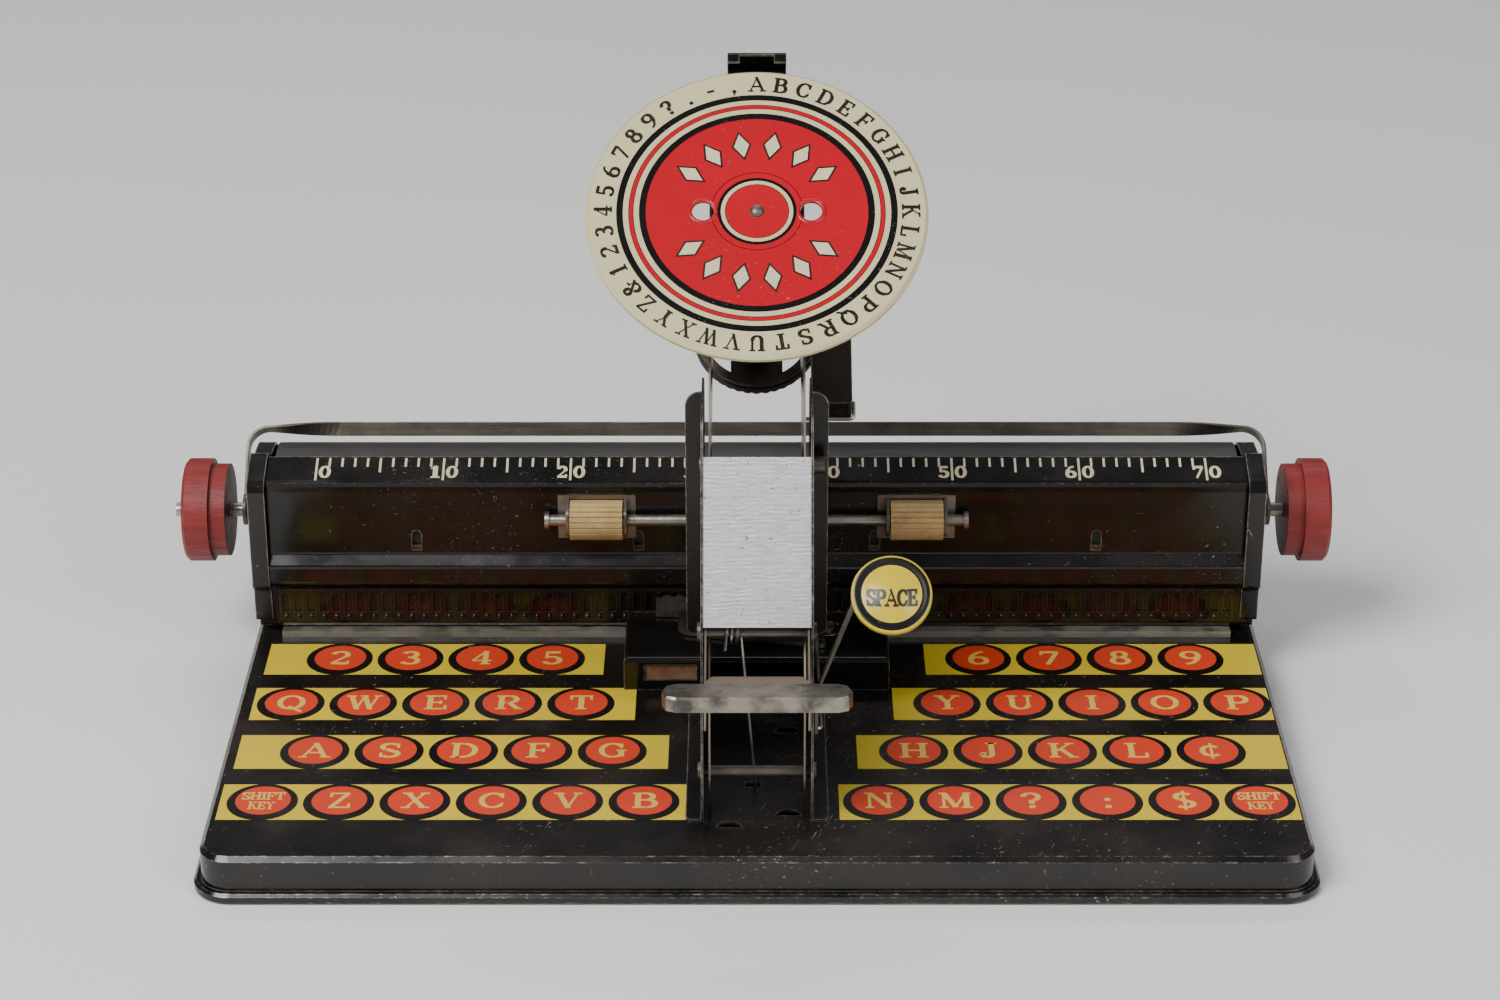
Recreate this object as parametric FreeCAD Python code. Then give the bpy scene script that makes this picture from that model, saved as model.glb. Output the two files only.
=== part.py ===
import FreeCAD
import Part
import math
import os

# Toy index typewriter in folded tin: a dial on a swinging head picks the character, the print lever
# drops the type wheel on the platen, and the space lever works the pawl of the carriage rack.
# Sizes are millimetres. Parts are drawn with X to the right, Y back from the base's front edge and
# Z up from the base's top face, and are moved at the end so that Z = 0 is the table.

# Driving dimensions of the base
tin = 0.6
base_width = 280.0
base_depth = 175.0
base_height = 12.5
base_corner = 8.0
base_edge_cut = 1.2
bead_height = 3.0
bead_reach = 2.0
bead_cut = 0.7
lance_radius = 3.2

corner_cut = 0.95
corner_flats = 3.6

# Running clearances
slide_gap = 0.3
side_gap = 0.4
pin_gap = 0.05
touch = 0.02

# Carriage along its length, from the platen outwards
platen_half = 134.0
platen_end_gap = 1.0
cap_plate = 0.8
cap_rim = 4.0
cap_over_platen = 0.6
cap_gap = 0.2
bail_gap = 3.8
bail_strip = 0.8
knob_gap = 3.8
knob_step = 4.6
knob_disc = 7.4
shaft_over_left = 3.2
shaft_over_right = 0.7
carriage_half = platen_half + platen_end_gap + cap_rim
bail_x = carriage_half + cap_plate + bail_gap + bail_strip / 2
knob_start = bail_x + bail_strip / 2 + knob_gap
shaft_left = knob_start + knob_step + knob_disc + shaft_over_left
shaft_right = knob_start + knob_step + knob_disc + shaft_over_right

# Carriage, seen from the side
hood_y = 120.8
hood_bulge = 2.4
bulge_low = 14.6
bulge_high = 24.8
scale_bend_z = 46.6
scale_back = 9.4
scale_rise = 3.7
hood_bend = 1.0
foot_lip = 5.0
rear_depth = 41.2
rear_height = 24.0
rail_short = 7.5
rail_half = base_width / 2 - rail_short
rail_floor = 1.8
rail_front_lip = 2.5
rail_hook = 3.6

# Rack on the front of the carriage
rack_thick = 0.7
rack_pitch = 3.5
rack_end = 1.5
rack_teeth = int(2 * (carriage_half - cap_rim - cap_gap - rack_end) / rack_pitch)
rack_low = 4.4
rack_high = bulge_low - 0.6
notch_width = 2.1
notch_low = 7.0
notch_high = 13.2
notch_corner = 0.7

# Platen, shaft, knobs and paper bail
platen_back = 20.7
platen_z = 28.5
platen_r = 19.0
platen_wall = 2.5
plug_length = 8.0
shaft_r = 2.0
knob_inner_r = 13.0
knob_outer_r = 14.5
knob_round = 0.9
bail_width = 4.0
bail_reach = 24.0
bail_angle = 46.7
bail_corner = 6.0
bail_eye_r = 4.4
pan_gap = 0.6
pan_thick = 0.45
pan_from = 184.0
pan_to = 350.0
spring_wire = 0.45
spring_r = 3.0
spring_turns = 3
wire_sides = 6

# Feed rollers in front of the platen
feed_z = 36.5
feed_x = 44.0
feed_r = 5.5
feed_length = 14.4
feed_ribs = 22
feed_groove = 0.45
feed_rod_r = 1.6
feed_rod_half = 57.0
feed_head_r = 2.4
feed_head = 1.2
feed_tab = 0.8
feed_tab_reach = 3.4
feed_window_z = 13.0

# Frame that carries the head
frame_x = 13.6
frame_front = 18.0
frame_back = 86.5
frame_top = 96.0
foot_width = 4.0
flange_width = 4.6
flange_low = 18.0
flange_top = 89.0
cover_low = (29.5, 49.4)
cover_high = (50.0, 87.0)
cover_flange = 5.0
cover_flange_start = 8.0

# Pivots of the frame, as (back, up)
arm_pivot = (28.0, 9.0)
lever_pivot = (34.0, 46.0)
stop_place = (82.0, 70.0)
space_pivot = (27.0, 31.0)
pivot_r = 1.5
stop_r = 1.25
head_r = 2.4
head_thick = 0.9
stop_collar = 3.6
lever_travel = 22.0

# Dial, spindle and type wheel
dial_centre = (95.0, 135.8)
dial_tilt = 54.0
dial_r = 44.1
dial_rim = 1.8
dial_edge = 0.8
finger_r = 2.8
finger_x = 13.9
spindle_r = 1.9
hub_r = 6.0
hub_long = 4.4
type_radius = 15.5
print_gap = 0.3
ring_outer = 17.0
ring_inner = 14.2
ring_thick = 2.0
type_count = 40
type_high = 1.3
type_wide = 1.5
type_deep = 2.0
wheel_plate = 1.4
wheel_bar = 14.0
wheel_hub_r = 5.0
wheel_hub_long = 5.0

# Head arm plates and what they carry
arm_plate = 0.5
arm_x = 11.8
arm_half_band = 8.0
arm_low = (51.0, 33.0)
arm_high = (88.0, 66.0)
arm_start = 6.0
arm_end = 56.0
web_start = 3.3
web_end = 24.0
web_in = 1.3
bearing_plate = 1.5
bearing_boss_r = 4.0
bearing_boss = 3.5
bearing_low_at = 50.0
pointer_width = 15.5
pointer_over = 3.4
pointer_front = 2.5
prong_length = 3.0
prong_width = 3.2
ink_box_x = 14.6
ink_box_wide = 10.8
ink_box_wall = 0.5
ink_back = -10.0
ink_front = 28.0
ink_high = 50.0
ink_low = 58.0
ink_finger = 3.5
ink_tab = 4.0
felt_thick = 1.6
ink_clip_wire = 1.1
ink_clip_back = 4.0

# Print lever
lever_plate = 0.5
handle_half = 23.5
handle_thick = 1.2
handle_lip = 4.0
handle_edge = 0.5
link_pin_r = 1.25
link_play = 0.2

# Space lever, link and pawl
space_plate = 0.8
space_short = 9.0
space_travel = 13.0
cap_r = 10.0
cap_place = (33.0, 18.0, 64.5)
cap_tilt = 45.0
link_wire = 1.0
pawl_plate = 0.8
pawl_pivot = (-17.0, 105.7)
guide_half = 36.0
guide_front = 87.6
guide_back = 115.3
guide_height = 9.5
rivet_r = 1.4
rivet_head_r = 2.3
rivet_head = 0.9
guide_rivet_x = 19.0
window_left = -30.4
window_right = -16.3
window_low = 3.1
window_high = 7.6
leaf_left = -33.0
leaf_right = 6.0
leaf_foot = 7.0
leaf_low = 2.4
leaf_thick = 0.5
leaf_gap = 1.1

# Return spring round the lever's pivot pin
return_wire = 0.8
return_r = 2.6
return_turns = 2
return_start = -5.0
return_tail = 4.0
return_end = 1.4
return_pitch = 1.4


def vec(x, y, z):
    return FreeCAD.Vector(x, y, z)


def side_plane(y, z):
    return vec(0, y, z)


def plan_plane(x, y):
    return vec(x, y, 0)


def front_plane(x, z):
    return vec(x, 0, z)


def unit(a, b):
    length = math.hypot(b[0] - a[0], b[1] - a[1])
    return ((b[0] - a[0]) / length, (b[1] - a[1]) / length)


def outline(points, plane):
    """Closed wire through corners (a, b) or (a, b, radius); small radii are cut with one or two flats."""
    corners = []
    count = len(points)
    for i in range(count):
        here = points[i]
        radius = here[2] if len(here) > 2 else 0.0
        if radius <= 0:
            corners.append((here, here, here))
            continue
        back = unit(here, points[i - 1])
        on = unit(here, points[(i + 1) % count])
        half = math.acos(max(-1.0, min(1.0, back[0] * on[0] + back[1] * on[1]))) / 2
        reach = radius / math.tan(half)
        middle = (back[0] + on[0], back[1] + on[1])
        size = math.hypot(middle[0], middle[1])
        to_arc = radius / math.sin(half) - radius
        start = (here[0] + back[0] * reach, here[1] + back[1] * reach)
        end = (here[0] + on[0] * reach, here[1] + on[1] * reach)
        crown = (here[0] + middle[0] / size * to_arc, here[1] + middle[1] / size * to_arc)
        corners.append((start, crown, end))
    edges = []
    for i in range(count):
        start, crown, end = corners[i]
        if start is not end and points[i][2] < corner_cut:
            edges.append(Part.makeLine(plane(start[0], start[1]), plane(end[0], end[1])))
        elif start is not end and points[i][2] < corner_flats:
            edges.append(Part.makeLine(plane(start[0], start[1]), plane(crown[0], crown[1])))
            edges.append(Part.makeLine(plane(crown[0], crown[1]), plane(end[0], end[1])))
        elif start is not end:
            arc = Part.Arc(plane(start[0], start[1]), plane(crown[0], crown[1]), plane(end[0], end[1]))
            edges.append(arc.toShape())
        following = corners[(i + 1) % count][0]
        if math.hypot(following[0] - end[0], following[1] - end[1]) > 1e-6:
            edges.append(Part.makeLine(plane(end[0], end[1]), plane(following[0], following[1])))
    return Part.Wire(edges)


def folded(path, thickness):
    """Corners of a folded sheet's section: the path (a, b, inside bend radius) thickened to its left."""
    near = []
    far = []
    last = len(path) - 1
    for i, point in enumerate(path):
        before = unit(path[i - 1], point) if i > 0 else unit(point, path[1])
        after = unit(point, path[i + 1]) if i < last else before
        left_before = (-before[1], before[0])
        left_after = (-after[1], after[0])
        share = 1 + left_before[0] * left_after[0] + left_before[1] * left_after[1]
        shift_a = (left_before[0] + left_after[0]) * thickness / share
        shift_b = (left_before[1] + left_after[1]) * thickness / share
        bend = point[2] if len(point) > 2 else 0.0
        turn = before[0] * after[1] - before[1] * after[0]
        near_r = 0.0
        far_r = 0.0
        if bend > 0 and abs(turn) > 1e-6:
            near_r = bend + thickness if turn > 0 else bend
            far_r = bend if turn > 0 else bend + thickness
        near.append((point[0], point[1], near_r))
        far.append((point[0] + shift_a, point[1] + shift_b, far_r))
    return near + far[::-1]


def inset(points, depth):
    """A closed outline drawn counter-clockwise, moved inwards by a depth."""
    moved = []
    count = len(points)
    for i in range(count):
        here = points[i]
        before = unit(points[i - 1], here)
        after = unit(here, points[(i + 1) % count])
        left_before = (-before[1], before[0])
        left_after = (-after[1], after[0])
        share = 1 + left_before[0] * left_after[0] + left_before[1] * left_after[1]
        a = here[0] + (left_before[0] + left_after[0]) * depth / share
        b = here[1] + (left_before[1] + left_after[1]) * depth / share
        turn = before[0] * after[1] - before[1] * after[0]
        moved.append((a, b, max(0.0, here[2] - depth) if turn > 0 else here[2] + depth))
    return moved


def side_prism(points, x0, x1):
    """An outline in (back, up) drawn out along X."""
    face = Part.Face(outline(points, side_plane))
    solid = face.extrude(vec(x1 - x0, 0, 0))
    solid.translate(vec(x0, 0, 0))
    return solid


def plan_prism(points, z0, z1):
    """An outline in (right, back) drawn out upwards."""
    face = Part.Face(outline(points, plan_plane))
    solid = face.extrude(vec(0, 0, z1 - z0))
    solid.translate(vec(0, 0, z0))
    return solid


def box(x0, x1, y0, y1, z0, z1):
    return Part.makeBox(x1 - x0, y1 - y0, z1 - z0, vec(x0, y0, z0))


def cross_rod(place, radius, x0, x1):
    """A round bar along X at a (back, up) place."""
    return Part.makeCylinder(radius, x1 - x0, vec(x0, place[0], place[1]), vec(1, 0, 0))


def post(x, y, radius, z0, z1):
    return Part.makeCylinder(radius, z1 - z0, vec(x, y, z0), vec(0, 0, 1))


def mirrored(shape):
    return shape.mirror(vec(0, 0, 0), vec(1, 0, 0))


# The dial's frame: n points out of the dial's face, down its face towards the player, t along the spindle
tilt = math.radians(dial_tilt)
face_n = (-math.cos(tilt), math.sin(tilt))
face_down = (-math.sin(tilt), -math.cos(tilt))
platen_axis = (hood_y + platen_back, platen_z)


def dial_at(t, down):
    """(back, up) of a point t below the dial's face and down from the spindle."""
    y = dial_centre[0] - face_n[0] * t + face_down[0] * down
    z = dial_centre[1] - face_n[1] * t + face_down[1] * down
    return (y, z)


def dial_plane(x, down):
    y, z = dial_at(0, down)
    return vec(x, y, z)


def along_spindle(t):
    return vec(0, -face_n[0] * t, -face_n[1] * t)


def dial_prism(points, t0, t1):
    """An outline in (right, down the face) drawn out along the spindle from t0 to t1."""
    solid = Part.Face(outline(points, dial_plane)).extrude(along_spindle(t1 - t0))
    solid.translate(along_spindle(t0))
    return solid


def dial_round(radius, t0, t1, x=0.0, down=0.0):
    y, z = dial_at(t0, down)
    return Part.makeCylinder(radius, t1 - t0, vec(x, y, z), along_spindle(1))


# Print stroke: the head's swing that brings the type face print_gap above the platen, and the
# depth of the type face on the spindle, both from the places of the pivot, dial and platen
def print_stroke():
    reach = math.hypot(platen_axis[0] - arm_pivot[0], platen_axis[1] - arm_pivot[1])
    rest = math.atan2(platen_axis[1] - arm_pivot[1], platen_axis[0] - arm_pivot[0])
    down = math.atan2(face_down[1], face_down[0])
    across = dial_centre[0] * face_down[0] + dial_centre[1] * face_down[1]
    across += type_radius - arm_pivot[0] * face_down[0] - arm_pivot[1] * face_down[1]
    swing = down + math.acos(across / reach) - rest
    swing = math.remainder(swing, 2 * math.pi)
    if swing < 0:
        swing = math.remainder(down - math.acos(across / reach) - rest, 2 * math.pi)
    other = math.remainder(down - math.acos(across / reach) - rest, 2 * math.pi)
    if 0 < other < swing:
        swing = other
    place_y = arm_pivot[0] + reach * math.cos(rest + swing)
    place_z = arm_pivot[1] + reach * math.sin(rest + swing)
    depth = (dial_centre[0] - place_y) * face_n[0] + (dial_centre[1] - place_z) * face_n[1]
    return math.degrees(swing), depth - platen_r - print_gap


head_swing, type_face_t = print_stroke()
ring_end = type_face_t - type_high
ring_start = ring_end - ring_thick
wheel_start = ring_start - wheel_plate
felt_low = type_face_t + slide_gap + felt_thick

# Link between lever and head: the lever's pin crosses the pivot line half way through the stroke,
# which keeps the two turns in one ratio
link_line = unit(arm_pivot, lever_pivot)
link_front = (-link_line[1], link_line[0])
pivot_span = math.hypot(lever_pivot[0] - arm_pivot[0], lever_pivot[1] - arm_pivot[1])
half_lever = math.radians(lever_travel) / 2
half_head = math.radians(head_swing) / 2
link_drop = pivot_span * math.tan(half_head)
link_drop /= math.sin(half_lever) + math.cos(half_lever) * math.tan(half_head)
link_along = pivot_span - link_drop * math.cos(half_lever)
link_aside = link_drop * math.sin(half_lever)
link_place = (
    arm_pivot[0] + link_line[0] * link_along + link_front[0] * link_aside,
    arm_pivot[1] + link_line[1] * link_along + link_front[1] * link_aside,
)
link_near = pivot_span - link_drop
link_far = math.hypot(link_along, link_aside)

frame_out = frame_x + tin
arm_out = arm_x + arm_plate
lever_out = frame_x - side_gap
lever_in = lever_out - lever_plate
cover_line = unit(cover_low, cover_high)
cover_in = (cover_line[1], -cover_line[0])
cover_long = math.hypot(cover_high[0] - cover_low[0], cover_high[1] - cover_low[1])


def cover_at(along, inwards):
    """(back, up) of a point along the front cover's outer face and inwards from it."""
    y = cover_low[0] + cover_line[0] * along + cover_in[0] * inwards
    z = cover_low[1] + cover_line[1] * along + cover_in[1] * inwards
    return (y, z)


# Base: one deep pressing with a rolled bead round its foot
def half_moon(x, y, radius):
    disc = post(x, y, radius, -2 * tin, tin)
    return disc.cut(box(x - radius, x + radius, y - radius, y, -2 * tin, tin))


def rounded_box(half_x, y0, y1, z0, z1, corner):
    corners = [(-half_x, y0, corner), (half_x, y0, corner), (half_x, y1, corner), (-half_x, y1, corner)]
    return plan_prism(corners, z0, z1)


def edges_at(shape, heights):
    found = []
    for edge in shape.Edges:
        low = edge.BoundBox.ZMin
        if abs(edge.BoundBox.ZMax - low) < 1e-5 and any(abs(low - h) < 1e-5 for h in heights):
            found.append(edge)
    return found


def base_shell():
    half = base_width / 2
    outer = rounded_box(half, 0, base_depth, -base_height, 0, base_corner)
    outer = outer.makeChamfer(base_edge_cut, edges_at(outer, [0]))
    bead_top = -base_height + bead_height
    reach = bead_reach
    bead = rounded_box(half + reach, -reach, base_depth + reach, -base_height, bead_top, base_corner + reach)
    bead = bead.makeChamfer(bead_cut, edges_at(bead, [-base_height, bead_top]))
    hollow = rounded_box(half - tin, tin, base_depth - tin, -base_height - tin, -tin, base_corner - tin)
    hollow = hollow.makeChamfer(base_edge_cut - tin * (2 - math.sqrt(2)), edges_at(hollow, [-tin]))
    shell = outer.fuse(bead).cut(hollow)
    for x, y in ((-7.0, 15.0), (8.0, 21.0), (8.0, 64.0)):
        shell = shell.cut(half_moon(x, y, lance_radius))
    spring_y = lever_pivot[0] + return_r
    shell = shell.cut(box(-3.0, 1.0, spring_y - 1.2, spring_y + 1.2, -2 * tin, tin))
    return shell


# Rails: a bare steel strip in front and a hooked strip behind, that hold the carriage down
def rail(y_edge, y_web, sign):
    """A C rail: y_edge is its outer edge and y_web the outside of its web; sign points inwards."""
    lip = rail_floor + 2 * slide_gap + 2 * tin
    hook = y_web - sign * rail_hook
    section = [
        (y_edge, 0),
        (y_web, 0),
        (y_web, lip),
        (hook, lip),
        (hook, lip - tin),
        (y_web - sign * tin, lip - tin),
        (y_web - sign * tin, rail_floor),
        (y_edge, rail_floor),
    ]
    return side_prism(section, -rail_half, rail_half)


def carriage_rail_front():
    return rail(hood_y - rail_front_lip, hood_y + foot_lip + tin + slide_gap, 1)


def carriage_rail_rear():
    rear_y = hood_y + rear_depth
    return rail(rear_y + rail_front_lip, rear_y - foot_lip - tin - slide_gap, -1)


# Carriage shell
foot_z = rail_floor + slide_gap


def carriage_hood():
    bend = hood_bend
    path = [
        (hood_y - 0.4 + scale_back, scale_bend_z + scale_rise),
        (hood_y - 0.4, scale_bend_z, bend),
        (hood_y, scale_bend_z - 3.0, bend),
        (hood_y, bulge_high, bend),
        (hood_y - hood_bulge, bulge_high - 3.0, bend),
        (hood_y - hood_bulge, bulge_low + 2.0, bend),
        (hood_y, bulge_low, bend / 2),
        (hood_y, foot_z, bend / 2),
        (hood_y + foot_lip, foot_z),
    ]
    half = carriage_half - cap_gap
    hood = side_prism(folded(path, tin), -half, half)
    for side in (-1, 1):
        x = side * feed_x
        wide = feed_length / 2 + feed_tab
        low = feed_z - feed_window_z / 2
        hood = hood.cut(box(x - wide, x + wide, hood_y - 2, hood_y + 2, low, low + feed_window_z))
        for notch_x in (32.7, 94.0):
            notch = [(0, 26.0), (2.6, 26.0), (2.6, 32.0, 1.2), (0, 32.0, 1.2)]
            cutter = [(side * notch_x - 1.3 + p[0],) + tuple(p[1:]) for p in notch]
            face = Part.Face(outline(cutter, front_plane)).extrude(vec(0, 4, 0))
            face.translate(vec(0, hood_y - 2, 0))
            hood = hood.cut(face)
    return hood


def rack_strip():
    half = rack_teeth * rack_pitch / 2
    strip = box(-half, half, hood_y - rack_thick, hood_y, rack_low, rack_high)
    low = notch_low
    high = notch_high
    notches = []
    for i in range(rack_teeth):
        x0 = (i + 0.5) * rack_pitch - half - notch_width / 2
        x1 = x0 + notch_width
        top = [(x1, high, notch_corner), (x0, high, notch_corner)]
        notch = outline([(x0, low), (x1, low)] + top, front_plane)
        cutter = Part.Face(notch).extrude(vec(0, 2 * rack_thick, 0))
        cutter.translate(vec(0, hood_y - 1.5 * rack_thick, 0))
        notches.append(cutter)
    return strip.cut(Part.makeCompound(notches))


def carriage_rear():
    rear_y = hood_y + rear_depth
    path = [(rear_y - foot_lip, foot_z), (rear_y, foot_z, hood_bend / 2), (rear_y, rear_height)]
    half = carriage_half - cap_gap
    return side_prism(folded(path, tin), -half, half)


def cap_corners():
    face = hood_y - cap_gap - tin
    front = face - hood_bulge
    back = hood_y + rear_depth + cap_gap + tin
    low = rail_floor + 3 * slide_gap + 2 * tin + side_gap
    high = scale_bend_z + scale_rise + 1.0
    top = platen_z + platen_r + cap_over_platen
    return [
        (face, low, 1.0),
        (back, low, 1.0),
        (back, rear_height + 2.0, 6.0),
        (platen_axis[0] + 17.5, platen_z + 11.0, 8.0),
        (platen_axis[0] + 5.5, top - 1.0, 8.0),
        (platen_axis[0] - 5.5, top, 6.0),
        (hood_y + scale_back, high, 2.5),
        (front, scale_bend_z + 0.4, 3.0),
        (front, bulge_low + 1.4, 0.6),
        (face, bulge_low - cap_gap - tin, 0.6),
    ]


def carriage_end_right():
    corners = cap_corners()
    cap = side_prism(corners, carriage_half - cap_rim, carriage_half + cap_plate)
    pocket = side_prism(inset(corners, tin), carriage_half - cap_rim - 1, carriage_half)
    bore = cross_rod(platen_axis, shaft_r + pin_gap, carriage_half - 1, carriage_half + 2)
    return cap.cut(pocket).cut(bore)


def carriage_end_left():
    return mirrored(carriage_end_right())


def paper_pan():
    inner = platen_r + pan_gap
    outer = inner + pan_thick
    half = carriage_half - cap_rim - cap_gap

    def at(radius, degrees):
        turn = math.radians(degrees)
        return vec(-half, platen_axis[0] + radius * math.cos(turn), platen_axis[1] + radius * math.sin(turn))

    middle = (pan_from + pan_to) / 2
    edges = [
        Part.Arc(at(outer, pan_from), at(outer, middle), at(outer, pan_to)).toShape(),
        Part.makeLine(at(outer, pan_to), at(inner, pan_to)),
        Part.Arc(at(inner, pan_to), at(inner, middle), at(inner, pan_from)).toShape(),
        Part.makeLine(at(inner, pan_from), at(outer, pan_from)),
    ]
    return Part.Face(Part.Wire(edges)).extrude(vec(2 * half, 0, 0))


# Platen with its shaft and knobs
def platen_roller():
    outer = cross_rod(platen_axis, platen_r, -platen_half, platen_half)
    return outer.cut(cross_rod(platen_axis, platen_r - platen_wall, -platen_half, platen_half))


def platen_end_plugs():
    plugs = []
    for x0 in (-platen_half, platen_half - plug_length):
        plug = cross_rod(platen_axis, platen_r - platen_wall, x0, x0 + plug_length)
        plugs.append(plug.cut(cross_rod(platen_axis, shaft_r, x0, x0 + plug_length)))
    return Part.makeCompound(plugs)


def platen_shaft():
    return cross_rod(platen_axis, shaft_r, -shaft_left, shaft_right)


def knob_right():
    x0 = knob_start
    x1 = x0 + knob_step
    x2 = x1 + knob_disc
    rim = knob_round
    section = [
        (x0, shaft_r),
        (x0, knob_inner_r),
        (x1, knob_inner_r),
        (x1, knob_outer_r),
        (x2, knob_outer_r, rim),
        (x2, shaft_r),
    ]
    face = Part.Face(outline(section, front_plane))
    knob = face.revolve(vec(0, 0, 0), vec(1, 0, 0), 360)
    knob.translate(vec(0, platen_axis[0], platen_axis[1]))
    return knob


def knob_left():
    return mirrored(knob_right())


def paper_bail():
    outside = bail_x + bail_strip / 2
    top = bail_reach + bail_strip / 2
    path = [
        (-outside, 0),
        (-outside, top, bail_corner),
        (outside, top, bail_corner),
        (outside, 0),
    ]
    corners = folded([(p[0], p[1]) + p[2:] for p in path[::-1]], bail_strip)
    strip = Part.Face(outline(corners, front_plane)).extrude(vec(0, bail_width, 0))
    strip.translate(vec(0, -bail_width / 2, 0))
    for side in (-1, 1):
        x0 = side * bail_x - bail_strip / 2
        strip = strip.fuse(cross_rod((0, 0), bail_eye_r, x0, x0 + bail_strip))
    strip = strip.cut(cross_rod((0, 0), shaft_r + pin_gap, -outside - 1, outside + 1))
    strip.rotate(vec(0, 0, 0), vec(1, 0, 0), bail_angle - 90)
    strip.translate(vec(0, platen_axis[0], platen_axis[1]))
    return strip.removeSplitter()


# Wound springs: a wire pipe on quarter turns, each two arcs that meet in one tangent
def quarter_arcs(point, tangent, angles):
    edges = []
    for i in range(len(angles) - 1):
        p0 = point(angles[i])
        p1 = point(angles[i + 1])
        t0 = tangent(angles[i])
        t1 = tangent(angles[i + 1])
        chord = p1 - p0
        both = t0 + t1
        bend = 2 * (1 - t0.dot(t1))
        lean = chord.dot(both)
        reach = (math.sqrt(lean * lean + bend * chord.dot(chord)) - lean) / bend
        meet = (p0 + t0 * reach + p1 - t1 * reach) * 0.5
        edges.append(tangent_arc(p0, p0 + t0 * reach, meet))
        edges.append(tangent_arc(meet, p1 - t1 * reach, p1))
    return edges


def tangent_arc(start, corner, end):
    middle = (start + end) * 0.5
    half_cos = (end - start).Length / 2 / (corner - start).Length
    crown = middle + (corner - middle) * (half_cos / (1 + half_cos))
    return Part.Arc(start, crown, end).toShape()


def wound(axis_y, axis_z, x_start, radius, pitch, first, turns, spin):
    """The point and tangent functions of a helix round an axis along X, by angle in radians."""
    climb = pitch / (2 * math.pi)

    def point(angle):
        turned = spin * (angle - first)
        x = x_start + climb * turned
        return vec(x, axis_y + radius * math.cos(angle), axis_z + radius * math.sin(angle))

    def tangent(angle):
        way = vec(climb, -spin * radius * math.sin(angle), spin * radius * math.cos(angle))
        return way * (1 / way.Length)

    angles = [first + spin * math.pi / 2 * i for i in range(4 * turns + 1)]
    return point, tangent, angles


def wire_pipe(edges, thickness):
    """A wire along the edges, with a six-sided section to keep its faces few."""
    path = Part.Wire(edges)
    start = edges[0].valueAt(edges[0].FirstParameter)
    way = edges[0].tangentAt(edges[0].FirstParameter)
    across = way.cross(vec(1, 0, 0) if abs(way.x) < abs(way.z) else vec(0, 0, 1))
    across = across * (thickness / 2 / across.Length)
    upright = way.cross(across)
    corners = []
    for i in range(wire_sides + 1):
        turn = 2 * math.pi * i / wire_sides
        corners.append(start + across * math.cos(turn) + upright * math.sin(turn))
    ring = Part.makePolygon(corners[:-1] + [corners[0]])
    return path.makePipeShell([ring], True, False)


def least_gap(edges, thickness, skip):
    """Least distance between stretches of one wire that lie more than skip apart along it."""
    points = []
    walked = 0.0
    for edge in edges:
        first = edge.FirstParameter
        steps = 8
        for i in range(steps):
            place = edge.valueAt(first + (edge.LastParameter - first) * i / steps)
            points.append((walked + edge.Length * i / steps, place))
        walked += edge.Length
    gap = 1e9
    for i, (s0, p0) in enumerate(points):
        for s1, p1 in points[i + 1:]:
            if s1 - s0 > skip:
                gap = min(gap, (p1 - p0).Length - thickness)
    return gap


def bail_spring():
    room_start = -bail_x + bail_strip / 2 + slide_gap
    room_end = -carriage_half - cap_plate - slide_gap
    pitch = (room_end - room_start - spring_wire) / spring_turns
    point, tangent, angles = wound(
        platen_axis[0], platen_axis[1], room_start + spring_wire / 2, spring_r, pitch, 0, spring_turns, 1
    )
    edges = quarter_arcs(point, tangent, angles)
    print("bail_spring least gap", round(least_gap(edges, spring_wire, spring_r), 3))
    return wire_pipe(edges, spring_wire)


def return_spring():
    spring_x = return_start - return_pitch * return_turns
    point, tangent, angles = wound(
        lever_pivot[0], lever_pivot[1], spring_x, return_r, return_pitch, math.pi, return_turns, -1
    )
    angles = angles + [angles[-1] - math.pi / 2, angles[-1] - math.pi]
    edges = quarter_arcs(point, tangent, angles)
    start = point(angles[0])
    end = point(angles[-1])
    end_way = tangent(angles[-1])
    drop = (lever_pivot[1] + tin + return_end) / -end_way.z
    edges = [Part.makeLine(start - tangent(angles[0]) * return_tail, start)] + edges
    edges.append(Part.makeLine(end, end + end_way * drop))
    print("return_spring least gap", round(least_gap(edges, return_wire, 2 * return_r), 3))
    return wire_pipe(edges, return_wire)


# Feed rollers on their rod, in two brackets on the hood
feed_y = platen_axis[0] - math.sqrt((platen_r + feed_r + slide_gap) ** 2 - (feed_z - platen_z) ** 2)
feed_place = (feed_y, feed_z)


def feed_roller(x):
    step = 2 * math.pi / feed_ribs
    root = feed_r - feed_groove
    edges = []

    def at(radius, turn):
        return vec(x - feed_length / 2, feed_y + radius * math.cos(turn), feed_z + radius * math.sin(turn))

    for i in range(feed_ribs):
        turn = i * step
        crest = (turn + 0.18 * step, turn + 0.82 * step)
        valley = turn + step
        edges.append(Part.makeLine(at(root, turn), at(feed_r, crest[0])))
        edges.append(Part.makeLine(at(feed_r, crest[0]), at(feed_r, crest[1])))
        edges.append(Part.makeLine(at(feed_r, crest[1]), at(root, valley)))
    body = Part.Face(Part.Wire(edges)).extrude(vec(feed_length, 0, 0))
    return body.cut(cross_rod(feed_place, feed_rod_r, x - feed_length, x + feed_length))


def feed_roller_left():
    return feed_roller(-feed_x)


def feed_roller_right():
    return feed_roller(feed_x)


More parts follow.
